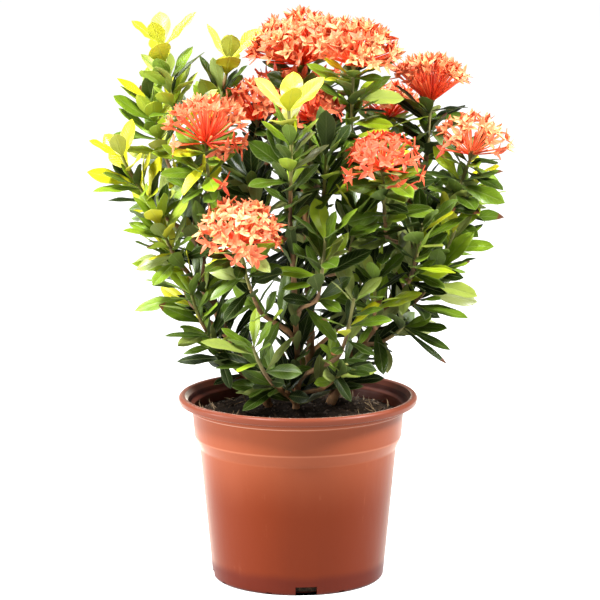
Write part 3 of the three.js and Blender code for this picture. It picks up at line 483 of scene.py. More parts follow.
def solid_leaves(node, stem):
    """The leaves that the node's solid carries: each on the try whose tip is a corner of the solid."""
    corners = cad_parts[node].data.vertices
    tree = KDTree(len(corners))
    for i, corner in enumerate(corners):
        tree.insert(corner.co, i)
    tree.balance()
    found = []
    for band in range(len(stem["bands"])):
        for side in range(4):
            if stem["bands"][band]["count"] != 4 and side % 2 != band % 2:
                continue
            for attempt in range(POISE["tries"]):
                leaf = leaf_form(stem, band, side, attempt)
                tip = leaf_place(leaf, 1.0)
                if tree.find(Vector(tip * MM))[2] < TIP_MATCH * MM:
                    leaf["crown"] = (band + 1) / len(stem["bands"])
                    found.append(leaf)
                    break
    return found


def leaf_outline(t):
    """Half width of a leaf along it, as a share of its widest: a long wedge at the foot and a blunt point."""
    return np.maximum(np.sin(np.pi * np.clip(t, 0, 1) ** 1.5).clip(0, 1) ** 0.72, 0.03)


class ElbowRoom:
    """Remembers where leaves are, so that the ones that thicken the bush keep clear of them."""

    CELL = 8.0

    def __init__(self):
        self.cells = {}

    @staticmethod
    def samples(leaf):
        spots = ((0.35, 0), (0.6, 0), (0.6, 0.8), (0.6, -0.8), (0.85, 0.6), (0.85, -0.6), (1.0, 0))
        return [leaf_place(leaf, share, side) for share, side in spots]

    def add(self, points):
        for point in points:
            self.cells.setdefault(tuple((point // self.CELL).astype(int)), []).append(point)

    def nearest(self, points):
        best = self.CELL
        for point in points:
            x, y, z = (point // self.CELL).astype(int)
            for key in ((x + i, y + j, z + k) for i in (-1, 0, 1) for j in (-1, 0, 1) for k in (-1, 0, 1)):
                for other in self.cells.get(key, ()):
                    best = min(best, float(np.linalg.norm(point - other)))
        return best


def spare_form(curve, share, turn_share, length, rise, seed):
    """A leaf of the thickening growth, set on a curve at a share of it, its face turned to the light."""
    centre, up_stem, across = frames_along(curve, [max(share - 0.02, 0), share])[1]
    turn = 2 * math.pi * turn_share
    outward = across * math.cos(turn) + np.cross(up_stem, across) * math.sin(turn)
    cosine, sine = math.cos(math.radians(rise)), math.sin(math.radians(rise))
    along = outward * cosine + up_stem * sine
    lightward = LIGHT * mix(*SPARE["lightward"], scatter(seed, 8))
    face = square_to(up_stem * cosine - outward * sine + lightward, along)
    face = turned(face, along, math.radians(SPARE["roll"] * spread(seed, 3)))
    return {
        "root": centre + outward * STEM["radius"] * 0.6,
        "along": along,
        "face": face,
        "length": length,
        "width": length * POISE["width_to_length"] * mix(*SPARE["width"], scatter(seed, 5)),
        "droop": mix(*SPARE["droop"], scatter(seed, 6)),
        "fold": mix(*POISE["fold"], scatter(seed, 7)),
        "seed": seed,
        "crown": share,
    }


def lone_leaf(root, tip, width, chance, seed):
    """A leaf from one given place to another, its face turned to the front."""
    root, tip = np.array(root, float), np.array(tip, float)
    along = unit(tip - root)
    return {
        "root": root,
        "along": along,
        "face": square_to(np.array([-0.2, -0.75, 0.6]), along),
        "length": float(np.linalg.norm(tip - root)),
        "width": width,
        "droop": 0.02,
        "fold": 0.14,
        "seed": seed,
        "crown": 0.6,
        "chance": chance,
    }


def allowed(points, hearts):
    """Whether a leaf with these points keeps out of the heads' hearts and ends inside the bush's outline."""
    if any(np.linalg.norm(point - centre) < radius for centre, radius in hearts for point in points):
        return False
    x, y, z = points[-1]
    return abs(x) <= SPARE["half_width"] and abs(y) <= SPARE["half_depth"] and z >= SPARE["lowest"]


def spare_leaves(curve, shares, length, seed, room, hearts, top_rise=SPARE["top_rise"]):
    """Pairs of leaves at the given shares of a curve, each on the allowed try that has the most room."""
    grown = []
    for level, share in enumerate(shares):
        for side in range(2):
            best, best_gap = None, SPARE["clearance"]
            for attempt in range(SPARE["tries"]):
                mark = seed * 997 + level * 61 + side * 17 + attempt * 5
                turn = side * 0.5 + level * 0.25 + SPARE["turn"] * spread(mark, 1)
                rise = mix(SPARE["low_rise"], top_rise, share) + SPARE["rise"] * spread(mark, 2)
                place = float(np.clip(share + SPARE["slide"] * spread(mark, 9), 0.02, 0.98))
                size = length * mix(*SPARE["length"], scatter(mark, 4))
                leaf = spare_form(curve, place, turn, size, rise, mark)
                points = ElbowRoom.samples(leaf)
                if not allowed(points, hearts):
                    continue
                gap = room.nearest(points)
                if gap > best_gap:
                    best, best_gap = leaf, gap
            if best:
                room.add(ElbowRoom.samples(best))
                grown.append(best)
    return grown


# ---------------------------------------------------------------------------
# Meshes
# ---------------------------------------------------------------------------

class Tissue:
    """Gathers the points, faces, texture places and finishes of one piece."""

    def __init__(self):
        self.points, self.faces, self.places, self.marks, self.finishes = [], [], [], [], []
        self.count = 0

    def add(self, points, faces, places, mark, finish=0):
        """faces is a list of arrays. mark is the part's own pair: a random number, and its tone or age."""
        for group in faces:
            self.faces.extend(map(tuple, (group + self.count).tolist()))
            self.finishes.extend([finish] * len(group))
        self.points.append(points)
        self.places.append(places)
        self.marks.append(np.tile(np.array(mark, float), (len(points), 1)))
        self.count += len(points)

    def piece(self, name, materials, slot=None, sharp=48):
        mesh = bpy.data.meshes.new(name)
        mesh.from_pydata(np.concatenate(self.points) * MM, [], self.faces)
        corners = np.zeros(len(mesh.loops), np.int32)
        mesh.loops.foreach_get("vertex_index", corners)
        for title, values in (("place", self.places), ("mark", self.marks)):
            layer = mesh.uv_layers.new(name=title)
            layer.uv.foreach_set("vector", np.concatenate(values)[corners].astype(np.float32).ravel())
        for material in materials:
            mesh.materials.append(material)
        mesh.polygons.foreach_set("material_index", np.array(self.finishes, np.int32))
        mesh.shade_smooth()
        mesh.set_sharp_from_angle(angle=math.radians(sharp))
        mesh.update()
        piece = bpy.data.objects.new(name, mesh)
        bpy.context.scene.collection.objects.link(piece)
        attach(piece, BODY)
        return piece


def grid_faces(rows, columns, wrap=False):
    """Four-sided faces over rows and columns of points."""
    i, j = np.meshgrid(np.arange(rows - 1), np.arange(columns if wrap else columns - 1), indexing="ij")
    i, j, after = i.ravel(), j.ravel(), ((j + 1) % columns).ravel()
    return np.stack([i * columns + j, (i + 1) * columns + j, (i + 1) * columns + after, i * columns + after], 1)


def capped_faces(rows, sides):
    """Faces of rows of rings, with a fan at each end to one of the two points that follow the rings."""
    k, size = np.arange(sides), rows * sides
    after = (k + 1) % sides
    first = np.stack([np.full(sides, size), after, k], 1)
    last = np.stack([np.full(sides, size + 1), size - sides + k, size - sides + after], 1)
    return [grid_faces(rows, sides, wrap=True)[:, ::-1], first, last]


def blade_net(rows, columns):
    """A thin closed blade: shares along and across, side, places and faces. The places of its under side are
    2 further on."""
    t, s = np.meshgrid(np.linspace(0, 1, rows), np.linspace(-1, 1, columns), indexing="ij")
    size = rows * columns
    index = np.arange(size).reshape(rows, columns)
    loop = np.concatenate([index[:, 0], index[-1, 1:], index[-2::-1, -1], index[0, -2:0:-1]])
    after = np.roll(loop, -1)
    rim = np.stack([loop, loop + size, after + size, after], 1)
    top = grid_faces(rows, columns)
    t, s = np.tile(t.ravel(), 2), np.tile(s.ravel(), 2)
    side = np.repeat([1.0, -1.0], size)
    places = np.stack([(s + 1) * 0.499 + 0.001 + (side < 0) * 2, t], 1)
    return {"t": t, "s": s, "side": side, "faces": [top, top[:, ::-1] + size, rim], "places": places}


LEAF_NET = blade_net(11, 9)
PETAL_NET = blade_net(6, 5)


def leaf_points(leaf, thickness):
    """The points of a leaf's blade, with its crease, droop, twist and waved edge."""
    t, s, side = LEAF_NET["t"], LEAF_NET["s"], LEAF_NET["side"]
    seed = leaf["seed"]
    width = leaf["width"] * mix(*BLADE["breadth"], part_way(leaf["root"][2], *BLADE["low_and_high"]))
    reach = s * width / 2 * leaf_outline(t)
    middle = np.sin(math.pi * t)
    lift = leaf["fold"] * (np.sqrt(reach ** 2 + 0.8) - 0.9) - BLADE["rib"] * np.exp(-((s * 5) ** 2)) * middle
    wave = np.sin(2 * math.pi * (t * mix(*BLADE["waves"], scatter(seed, 21)) + scatter(seed, 22)) + s)
    lift += (BLADE["wave"] * wave - BLADE["cup"] * scatter(seed, 23)) * width * s ** 2 * middle
    lift -= leaf["droop"] * t * t * leaf["length"]
    twist = math.radians(BLADE["twist"]) * spread(seed, 24) * t
    lift += side * thickness / 2 * (1 - BLADE["thin_edge"] * s ** 4) + reach * np.sin(twist)
    across = np.cross(leaf["face"], leaf["along"])
    return (leaf["root"] + np.outer(t * leaf["length"], leaf["along"])
            + np.outer(reach * np.cos(twist), across) + np.outer(lift, leaf["face"]))


def grow_leaf(tissue, leaf, tone, thickness):
    chance = leaf.get("chance", scatter(leaf["seed"], 31))
    tissue.add(leaf_points(leaf, thickness), LEAF_NET["faces"], LEAF_NET["places"], (chance, tone))


def bar(tissue, curve, shares, radii, sides, mark, finish=0):
    """A closed round bar along a curve."""
    rings = [ring_at(centre, across, along, radius, sides)
             for (centre, along, across), radius in zip(frames_along(curve, shares), radii)]
    points = np.concatenate([*rings, [rings[0].mean(0)], [rings[-1].mean(0)]])
    around = np.append(np.tile(np.arange(sides) / sides, len(rings)), [0, 0])
    share = np.append(np.repeat(shares, sides), [shares[0], shares[-1]])
    tissue.add(points, capped_faces(len(rings), sides), np.stack([around, share], 1), mark, finish)


# ---------------------------------------------------------------------------
# Finishes
# ---------------------------------------------------------------------------

class Finish:
    """A material and short ways to make its nodes."""

    def __init__(self, name):
        self.material = bpy.data.materials.new(name)
        self.material.use_nodes = True
        self.tree = self.material.node_tree
        self.shader = self.tree.nodes["Principled BSDF"]

    def node(self, kind, inputs=(), **settings):
        made = self.tree.nodes.new("ShaderNode" + kind)
        for key, value in settings.items():
            setattr(made, key, value)
        for key, value in dict(inputs).items():
            self.feed(made.inputs[key], value)
        return made

    def feed(self, socket, value):
        """Gives a socket a link, a number, or a colour of three numbers."""
        if isinstance(value, bpy.types.NodeSocket):
            self.tree.links.new(value, socket)
        elif socket.type == "RGBA":
            socket.default_value = (*value, 1.0)
        else:
            socket.default_value = value

    def math(self, operation, first, second=0.0, third=0.0):
        made = self.node("Math", operation=operation)
        for socket, value in zip(made.inputs, (first, second, third)):
            self.feed(socket, value)
        return made.outputs[0]

    def ease(self, value, low, high):
        """0 below low, 1 above high, and smooth between them."""
        made = self.node("MapRange", interpolation_type="SMOOTHSTEP")
        for key, given in (("Value", value), ("From Min", low), ("From Max", high)):
            self.feed(made.inputs[key], given)
        return made.outputs[0]

    def noise(self, scale, detail=3.0, roughness=0.5, space=None, stretch=None):
        """Noise in the frame's own metres, or in another space."""
        space = space or self.node("TexCoord").outputs["Object"]
        if stretch:
            space = self.node("Mapping", {"Vector": space, "Scale": stretch}).outputs[0]
        inputs = {"Vector": space, "Scale": scale, "Detail": detail, "Roughness": roughness}
        return self.node("TexNoise", inputs).outputs[0]

    def blend(self, factor, first, second, mode="MIX"):
        made = self.node("Mix", data_type="RGBA", blend_type=mode, clamp_factor=True)
        for index, value in ((0, factor), (6, first), (7, second)):
            self.feed(made.inputs[index], value)
        return made.outputs[2]

    def ramp(self, value, stops):
        made = self.node("ValToRGB", {"Fac": value})
        points = made.color_ramp.elements
        while len(points) < len(stops):
            points.new(0.5)
        for point, (at, colour) in zip(points, stops):
            point.position = at
            point.color = (*colour, 1.0)
        return made.outputs[0]

    def map(self, name):
        """The two numbers of one of the piece's texture maps."""
        made = self.node("SeparateXYZ", {"Vector": self.node("UVMap", uv_map=name).outputs[0]})
        return made.outputs[0], made.outputs[1]

    def blade(self):
        """On a leaf or petal: how far out from its rib, how far along it, and 1 on its under side."""
        across, along = self.map("place")
        under = self.math("GREATER_THAN", across, 1.5)
        across = self.math("SUBTRACT", across, self.math("MULTIPLY", under, 2.0))
        off_rib = self.math("MULTIPLY", self.math("ABSOLUTE", self.math("SUBTRACT", across, 0.5)), 2.0)
        return off_rib, along, under

    def height_and_radius(self):
        """Metres above the ground and out from the pot's axis."""
        x, y, height = self.node("SeparateXYZ", {"Vector": self.node("TexCoord").outputs["Object"]}).outputs
        radius = self.math("SQRT", self.math("ADD", self.math("MULTIPLY", x, x), self.math("MULTIPLY", y, y)))
        return height, radius

    def tint(self, colour, where, strength, second):
        """Blends a share of a second colour in where a mask is 1."""
        return self.blend(self.math("MULTIPLY", where, strength), colour, second)

    def let_light_through(self, share, glow):
        """Mixes a share of light from behind into the surface. glow holds that light's sockets."""
        behind = self.node("BsdfTranslucent", glow)
        mixed = self.node("MixShader", {0: share, 1: self.shader.outputs[0], 2: behind.outputs[0]})
        self.feed(self.tree.nodes["Material Output"].inputs["Surface"], mixed.outputs[0])
        return self.material

    def bump(self, height, distance, strength=1.0):
        made = self.node("Bump", {"Height": height, "Distance": distance, "Strength": strength})
        self.feed(self.shader.inputs["Normal"], made.outputs[0])
        return made.outputs[0]

    def set(self, **sockets):
        for key, value in sockets.items():
            self.feed(self.shader.inputs[key.replace("_", " ")], value)
        return self


def dimmed(colour, share):
    return tuple(min(c * share, 1) for c in colour)


# Leaf colours from the darkest shade up to the young leaves' own.
LEAF_SHADES = [
    (0.0, (0.006, 0.013, 0.001)),
    (0.22, (0.023, 0.046, 0.002)),
    (0.42, (0.078, 0.138, 0.007)),
    (0.6, (0.19, 0.3, 0.012)),
    (0.78, (0.36, 0.48, 0.016)),
]
LEAF_PALE = (0.38, 0.44, 0.17)
LEAF_FADED = (0.31, 0.34, 0.1)
LEAF_UNDER = (0.15, 0.2, 0.06)
LEAF_SCORCHED = (0.12, 0.045, 0.018)
VEINS = 11.0


def leaf_finish(look):
    """Glossy mottled leaf: pale midrib, fine side veins, thin pale edge and now and then a brown tip."""
    finish = Finish("leaf_blade")
    off_rib, along, under = finish.blade()
    chance, tone = finish.map("mark")
    rib = finish.math("SUBTRACT", 1.0, finish.ease(off_rib, 0.01, 0.1))
    slant = finish.math("MULTIPLY_ADD", off_rib, -0.22, along)
    comb = finish.math("PINGPONG", finish.math("MULTIPLY", slant, VEINS), 0.5)
    vein = finish.math("SUBTRACT", 1.0, finish.ease(comb, 0.0, 0.14))
    edge = finish.ease(off_rib, 0.86, 0.97)
    patches = finish.noise(90.0, 4.0, 0.6)
    # The tone from the mark holds the painted light and painted shade that leaf_tone gives each leaf.
    shade = finish.math("MULTIPLY_ADD", finish.math("SUBTRACT", patches, 0.5), 0.3, tone)
    shade = finish.math("MULTIPLY_ADD", along, 0.08, shade)
    colour = finish.ramp(shade, [*LEAF_SHADES, (1.0, look.young_colour)])
    colour = finish.tint(colour, finish.ease(chance, 0.15, 0.13), 0.55, LEAF_FADED)
    pale = finish.blend(0.45, colour, LEAF_PALE)
    colour = finish.tint(colour, vein, 0.12, pale)
    colour = finish.tint(colour, finish.math("MAXIMUM", rib, edge), 0.42, pale)
    colour = finish.tint(colour, under, 0.34, LEAF_UNDER)
    near_tip = finish.ease(finish.math("MULTIPLY_ADD", patches, 0.16, along), 0.93, 0.98)
    colour = finish.tint(colour, finish.ease(chance, 0.955, 0.96), near_tip, LEAF_SCORCHED)
    relief = finish.math("SUBTRACT", 0.0, finish.math("ADD", finish.math("MULTIPLY", vein, 0.45), rib))
    finish.bump(relief, 0.0004, 0.6)
    gloss = finish.math("MULTIPLY_ADD", finish.ease(tone, -0.05, 0.3), 0.22, 0.12)
    roughness = finish.math("MULTIPLY_ADD", under, 0.22, finish.math("MULTIPLY_ADD", patches, 0.16, 0.25))
    finish.set(Base_Color=colour, Roughness=roughness, Specular_IOR_Level=gloss)
    yellower = finish.blend(1.0, colour, (1.25, 1.1, 0.35), "MULTIPLY")
    return finish.let_light_through(look.translucency, {"Color": yellower})


def wood_finish(name, look, green):
    """Stem skin: brown and cracked at the foot, and green towards the tip of a leafy stem."""
    finish = Finish(name)
    _, along = finish.map("place")
    chance, _ = finish.map("mark")
    flecks = finish.noise(260.0, 5.0, 0.65, stretch=(1, 1, 0.35))
    patches = finish.noise(45.0, 3.0)
    bark = finish.ramp(finish.math("MULTIPLY_ADD", finish.math("SUBTRACT", patches, 0.5), 0.7, flecks), [
        (0.25, dimmed(look.bark_colour, 0.35)),
        (0.5, look.bark_colour),
        (0.75, dimmed(look.bark_colour, 1.7)),
    ])
    if green:
        age = finish.ease(finish.math("MULTIPLY_ADD", patches, 0.4, along), 0.35, 0.85)
        bark = finish.blend(age, bark, look.stem_colour)
    bark = finish.tint(bark, chance, 0.25, (0.32, 0.27, 0.19))
    finish.bump(flecks, 0.0006, 0.8)
    return finish.set(Base_Color=bark, Roughness=0.75, Specular_IOR_Level=0.2).material


def petal_finish(look):
    """Petals from red to pale peach, deeper at the throat, with fine streaks and pale edges."""
    finish = Finish("petal")
    off_rib, along, under = finish.blade()
    chance, tint = finish.map("mark")
    streaks = finish.noise(500.0, 3.0)
    # The tint from the mark holds painted shade for florets sunk deep in a head.
    shade = finish.math("MULTIPLY_ADD", finish.math("SUBTRACT", chance, 0.5), 0.7, tint)
    shade = finish.math("MULTIPLY_ADD", finish.math("SUBTRACT", streaks, 0.5), 0.8, shade)
    colour = finish.ramp(shade, [
        (0.0, look.petal_colour),
        (0.45, tuple(mix(a, b, 0.5) for a, b in zip(look.petal_colour, look.petal_pale_colour))),
        (0.8, look.petal_pale_colour),
        (1.0, (0.88, 0.58, 0.25)),
    ])
    throat = finish.math("SUBTRACT", 1.0, finish.ease(along, 0.0, 0.22))
    colour = finish.tint(colour, throat, 0.35, (0.8, 0.1, 0.02))
    colour = finish.tint(colour, finish.ease(off_rib, 0.6, 1.0), 0.25, (0.76, 0.43, 0.23))
    colour = finish.tint(colour, under, 0.35, look.petal_colour)
    normal = finish.bump(finish.math("SUBTRACT", streaks, finish.ease(off_rib, 0.15, 0.0)), 0.0003, 0.5)
    finish.set(Base_Color=colour, Roughness=0.5)
    return finish.let_light_through(0.35, {"Color": colour, "Normal": normal})


def tube_finish(look):
    """Floret tubes and buds: red, paler towards the throat."""
    finish = Finish("floret_tube")
    _, along = finish.map("place")
    chance, paleness = finish.map("mark")
    colour = finish.tint(look.tube_colour, finish.ease(along, 0.35, 1.0), 0.4, look.petal_pale_colour)
    colour = finish.tint(colour, paleness, 0.7, look.petal_pale_colour)
    colour = finish.tint(colour, chance, 0.3, (0.9, 0.2, 0.05))
    finish.bump(finish.noise(700.0), 0.0002, 0.4)
    return finish.set(Base_Color=colour, Roughness=0.45).material


def calyx_finish(look):
    """The short green stalks that the tubes stand on."""
    finish = Finish("calyx")
    colour = finish.ramp(finish.noise(300.0), [(0.3, look.stem_colour), (0.7, (0.2, 0.12, 0.03))])
    finish.bump(finish.noise(600.0), 0.0002, 0.4)
    return finish.set(Base_Color=colour, Roughness=0.6).material


LEDGE_HIGHLIGHTS = ((0.1052, 0.08), (0.1145, 0.34), (0.1366, 0.3))  # height in metres, and how strong its painted highlight is


def plastic_finish(look):
    """Moulded terracotta plastic: soft gloss, faint flow marks, painted highlights on the ledges, painted light
    on the step and upper band, painted shade low down, a darker rim and foot, and soil stains and painted shade
    inside."""
    finish = Finish("pot_plastic")
    height, radius = finish.height_and_radius()
    flow = finish.noise(30.0, 4.0, stretch=(1, 1, 0.25))
    grain = finish.noise(1400.0, 2.0)
    scuffs = finish.ease(finish.noise(160.0, 6.0, 0.7, stretch=(1, 1, 0.2)), 0.6, 0.72)
    colour = finish.tint(look.plastic_colour, flow, 0.5, dimmed(look.plastic_colour, 0.82))
    colour = finish.tint(colour, scuffs, 0.1, (0.36, 0.14, 0.075))
    # Painted highlights: a thin pale line along each ledge.
    for ledge, strength in LEDGE_HIGHLIGHTS:
        off = finish.math("ABSOLUTE", finish.math("SUBTRACT", height, ledge))
        colour = finish.tint(colour, finish.ease(off, 0.0011, 0.0002), strength, (0.4, 0.16, 0.09))
    # Painted light: the slanted step, which faces down, is painted lighter.
    step = finish.math("MULTIPLY", finish.ease(height, 0.1052, 0.1065), finish.ease(height, 0.1146, 0.1136))
    colour = finish.tint(colour, step, 0.13, (0.36, 0.1, 0.045))
    # Painted light: the pot is painted lighter towards its upper band.
    band = finish.ease(finish.math("MULTIPLY_ADD", flow, 0.02, height), 0.07, 0.128)
    colour = finish.tint(colour, band, 0.3, (0.34, 0.1, 0.045))
    # Painted shade: the pot is painted darker towards the bottom.
    lower = finish.ease(finish.math("MULTIPLY_ADD", flow, 0.03, height), 0.1, 0.03)
    colour = finish.tint(colour, lower, 0.35, (0.09, 0.01, 0.001))
    foot = finish.ease(finish.math("MULTIPLY_ADD", flow, 0.006, height), 0.021, 0.013)
    colour = finish.tint(colour, foot, 0.6, (0.05, 0.004, 0.002))
    colour = finish.tint(colour, finish.ease(height, 0.1378, 0.1402), 0.62, (0.085, 0.02, 0.012))
    # The inner wall above the mix is darker: partly soil stains, partly painted shade.
    wall = finish.math("MULTIPLY_ADD", finish.ease(height, 0.1365, 0.1385), 0.0045, 0.0830)
    inside = finish.math("LESS_THAN", radius, wall)
    inside = finish.math("MULTIPLY", inside, finish.ease(height, 0.1285, 0.1295))
    colour = finish.tint(colour, inside, 0.72, (0.04, 0.01, 0.007))
    finish.bump(finish.math("ADD", finish.math("MULTIPLY", flow, 3.0), finish.math("MULTIPLY", grain, 0.12)),
                0.00025, 0.5)
    roughness = finish.math("MULTIPLY_ADD", flow, 0.12, finish.math("MULTIPLY_ADD", scuffs, 0.15, 0.3))
    bloom = finish.math("MULTIPLY_ADD", finish.math("MAXIMUM", inside, foot), -0.4, 0.4)
    return finish.set(Base_Color=colour, Roughness=roughness, Specular_IOR_Level=0.1, Sheen_Weight=bloom,
                      Sheen_Roughness=0.3, Sheen_Tint=(1.0, 0.9, 0.74)).material


def mix_finish(look):
    """Damp potting mix: near black with brown crumbs."""
    finish = Finish("potting_mix")
    crumbs = finish.noise(420.0, 6.0, 0.7)
    clumps = finish.noise(80.0, 4.0)
    colour = finish.ramp(finish.math("MULTIPLY_ADD", clumps, 0.4, crumbs), [
        (0.45, dimmed(look.mix_colour, 0.3)),
        (0.72, look.mix_colour),
        (0.9, (0.05, 0.028, 0.013)),
    ])
    finish.bump(crumbs, 0.0015, 1.0)
    return finish.set(Base_Color=colour, Roughness=0.95, Specular_IOR_Level=0.1).material


def fibre_finish():
    """Dry fibres, each with its own brown."""
    finish = Finish("mix_fibre")
    chance, _ = finish.map("mark")
    colour = finish.ramp(chance, [
        (0.0, (0.016, 0.01, 0.006)),
        (0.5, (0.07, 0.042, 0.022)),
        (1.0, (0.3, 0.2, 0.1)),
    ])
    finish.bump(finish.noise(900.0), 0.0003, 0.6)
    return finish.set(Base_Color=colour, Roughness=0.9).material


# ---------------------------------------------------------------------------
# Pot and potting mix
# ---------------------------------------------------------------------------

def rounded(profile, radius, steps=5):
    """A profile with each inner corner turned into a short arc."""
    points = [np.array(p, float) for p in profile]
    smooth = [points[0]]
    for before, corner, after in zip(points, points[1:], points[2:]):
        low = min(radius, 0.4 * np.linalg.norm(before - corner))
        high = min(radius, 0.4 * np.linalg.norm(after - corner))
        start, end = corner + unit(before - corner) * low, corner + unit(after - corner) * high
        smooth += [mix(mix(start, corner, t), mix(corner, end, t), t) for t in np.linspace(0, 1, steps)]
    return np.array(smooth + [points[-1]])


def lathe(profile, segments):
    """Points and faces of a profile of radius and height turned about the pot's axis, where it ends."""
    ring = profile[1:-1]
    angle = 2 * math.pi * np.arange(segments) / segments
    x, y = np.outer(ring[:, 0], np.cos(angle)), np.outer(ring[:, 0], np.sin(angle))
    z = np.repeat(ring[:, 1:], segments, 1)
    points = np.stack([x.ravel(), y.ravel(), z.ravel()], 1)
    points = np.concatenate([points, [[0, 0, profile[0][1]], [0, 0, profile[-1][1]]]])
    return points, capped_faces(len(ring), segments)


def foot_bites():
    """The blocks that cut the drain slots and notches out of the pot's foot. They stand past it and below it."""
    tissue = Tissue()
    foot, past, below = POT_OUTSIDE[1][0], 10, 5
    corners = np.array([(x, y, z) for x in (-1, 1) for y in (-1, 1) for z in (-1, 1)], float)
    faces = np.array([(0, 1, 3, 2), (4, 6, 7, 5), (0, 4, 5, 1), (2, 3, 7, 6), (0, 2, 6, 4), (1, 5, 7, 3)])
    for quarter in range(4):
        for cut, turn in ((SLOT, 0), (NOTCH, -NOTCH["spread"]), (NOTCH, NOTCH["spread"])):
            angle = math.radians(SLOT["angle"] + quarter * 90 + turn)
            reach = cut["depth"] + past
            block = corners * (cut["width"] / 2, reach / 2, (cut["height"] + below) / 2)
            block += (0, -(foot - cut["depth"] + reach / 2), (cut["height"] - below) / 2)
            tissue.add(np.array([turned(p, UP, angle) for p in block]), [faces], np.zeros((8, 2)), (0, 0))
    mesh = bpy.data.meshes.new("foot_bites")
    mesh.from_pydata(np.concatenate(tissue.points) * MM, [], tissue.faces)
    return bpy.data.objects.new("foot_bites", mesh)


def make_pot(look):
    """The pot turned from its profile, with the drain slots and notches cut out of it."""
    outline = [(0, 0), *POT_OUTSIDE, *POT_INSIDE, (0, POT_INSIDE[-1][1])]
    points, faces = lathe(rounded(outline, look.pot_edge / MM), look.pot_segments)
    tissue = Tissue()
    tissue.add(points, faces, np.zeros((len(points), 2)), (0, 0))
    pot = tissue.piece("nursery_pot", [plastic_finish(look)], "pot_plastic", sharp=POT_CREASE)
    bites = foot_bites()
    bpy.context.scene.collection.objects.link(bites)
    cut = pot.modifiers.new("drain holes", "BOOLEAN")
    cut.object, cut.operation, cut.solver = bites, "DIFFERENCE", "EXACT"
    graph = bpy.context.evaluated_depsgraph_get()
    mesh = bpy.data.meshes.new_from_object(pot.evaluated_get(graph))
    pot.modifiers.clear()
    pot.data = mesh
    bpy.data.objects.remove(bites)
    mesh.shade_smooth()
    mesh.set_sharp_from_angle(angle=math.radians(POT_CREASE))
    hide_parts("pot")


def pot_wall(height):
    """The radius of the pot's inner wall at a height."""
    heights, radii = zip(*[(z, r) for r, z in reversed(POT_INSIDE)])
    return float(np.interp(height, heights, radii))


def soil_level(x, y):
    """Height of the potting mix: the solid's gentle lumps with finer crumbs on them."""
    share = min(math.hypot(x, y) / pot_wall(MIX_LEVEL), 1)
    lumps = math.sin(x * 0.21 + 1) * math.cos(y * 0.17) + 0.6 * math.sin(x * 0.09 - y * 0.24 + 2)
    level = MIX_LEVEL + MIX["lumps"] * lumps * (1 - share ** 4) + MIX["mound"] * (1 - share ** 2)
    crumbs = noise.fractal(Vector((x, y, 7)) * 0.16, 0.8, 2.0, 5) * MIX["crumbs"]
    return level + crumbs * min(1, (1 - share) * 12 + 0.2)


def fill_pot(tissue):
    """The potting mix as one filling, whose top is rings of points that follow its level."""
    rings, segments = MIX["rings"], MIX["segments"]
    foot, waist = MIX["foot"], MIX["waist"]
    profile = [(pot_wall(foot) - MIX["foot_room"], foot), (pot_wall(waist) - MIX["waist_room"], waist)]
    top = pot_wall(MIX_LEVEL) - MIX["top_room"]
    profile += [(top * share, None) for share in np.linspace(1, 1 / rings, rings)]
    points = []
    for radius, height in profile:
        for angle in 2 * math.pi * np.arange(segments) / segments:
            x, y = radius * math.cos(angle), radius * math.sin(angle)
            points.append((x, y, soil_level(x, y) if height is None else height))
    points = np.array(points + [(0, 0, foot), (0, 0, soil_level(0, 0))])
    tissue.add(points, capped_faces(len(profile), segments), points[:, :2] * 0.01, (0.5, 0.5))


def strew_crumb(tissue, i):
    """A loose crumb on the mix, of its own size and shape."""
    radius = pot_wall(MIX_LEVEL) * CRUMB["reach"] * math.sqrt(scatter(i, 1))
    turn = 2 * math.pi * scatter(i, 2)
    x, y = radius * math.cos(turn), radius * math.sin(turn)
    centre = np.array([x, y, soil_level(x, y) + CRUMB["lift"]])
    size = mix(*CRUMB["size"], scatter(i, 3) ** 2)
    stretch = np.array([mix(*CRUMB["stretch"], scatter(i, 4 + axis)) for axis in range(3)])
    lump = np.array([unit(np.array(p)) for p in CRUMB_POINTS]) * size * stretch
    lump *= np.array([[mix(*CRUMB["knobs"], scatter(i, 20 + n))] for n in range(len(lump))])
    lump = np.array([turned(p, UP, turn * 3) for p in lump])
    tissue.add(centre + lump, [CRUMB_FACES], np.zeros((len(lump), 2)), (scatter(i, 8) * 0.5, 0), 1)


def strew_fibre(tissue, i):
    """A bent fibre that stands out of the mix and stays inside the pot's wall."""
    radius = pot_wall(MIX_LEVEL) * mix(*FIBRE["reach"], scatter(i, 51)) ** FIBRE["spread"]
    turn = 2 * math.pi * scatter(i, 52)
    x, y = radius * math.cos(turn) * FIBRE["inward"], radius * math.sin(turn) * FIBRE["inward"]
    start = np.array([x, y, soil_level(x, y) - FIBRE["sunk"]])
    way = unit(np.array([spread(i, 53), spread(i, 54), 0.15 + 0.75 * scatter(i, 55) ** 3]))
    length = mix(*FIBRE["length"], scatter(i, 56))
    end = start + way * length
    outside = math.hypot(end[0], end[1]) / (pot_wall(MIX_LEVEL) - FIBRE["off_wall"])
    if outside > 1:
        end[:2] /= outside
    bow = np.array([spread(i, 57), spread(i, 58), 0.4 * scatter(i, 59)]) * length * FIBRE["bow"]
    radii = np.array(FIBRE["radii"]) * mix(*FIBRE["thickness"], scatter(i, 60))
    mark = (mix(*FIBRE["paleness"], scatter(i, 61)), 0)
    bar(tissue, Bezier(start, (start + end) / 2 + bow, end), np.linspace(0, 1, len(radii)), radii, 5, mark, 1)


def make_soil(look):
    """The potting mix with its crumbs and fibres, which share a finish."""
    tissue = Tissue()
    fill_pot(tissue)
    for i in range(look.crumbs):
        strew_crumb(tissue, i)
    for i in range(look.fibres):
        strew_fibre(tissue, i)
    soil = tissue.piece("potting_mix", [mix_finish(look), fibre_finish()], "potting_mix", sharp=60)
    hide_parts("soil")


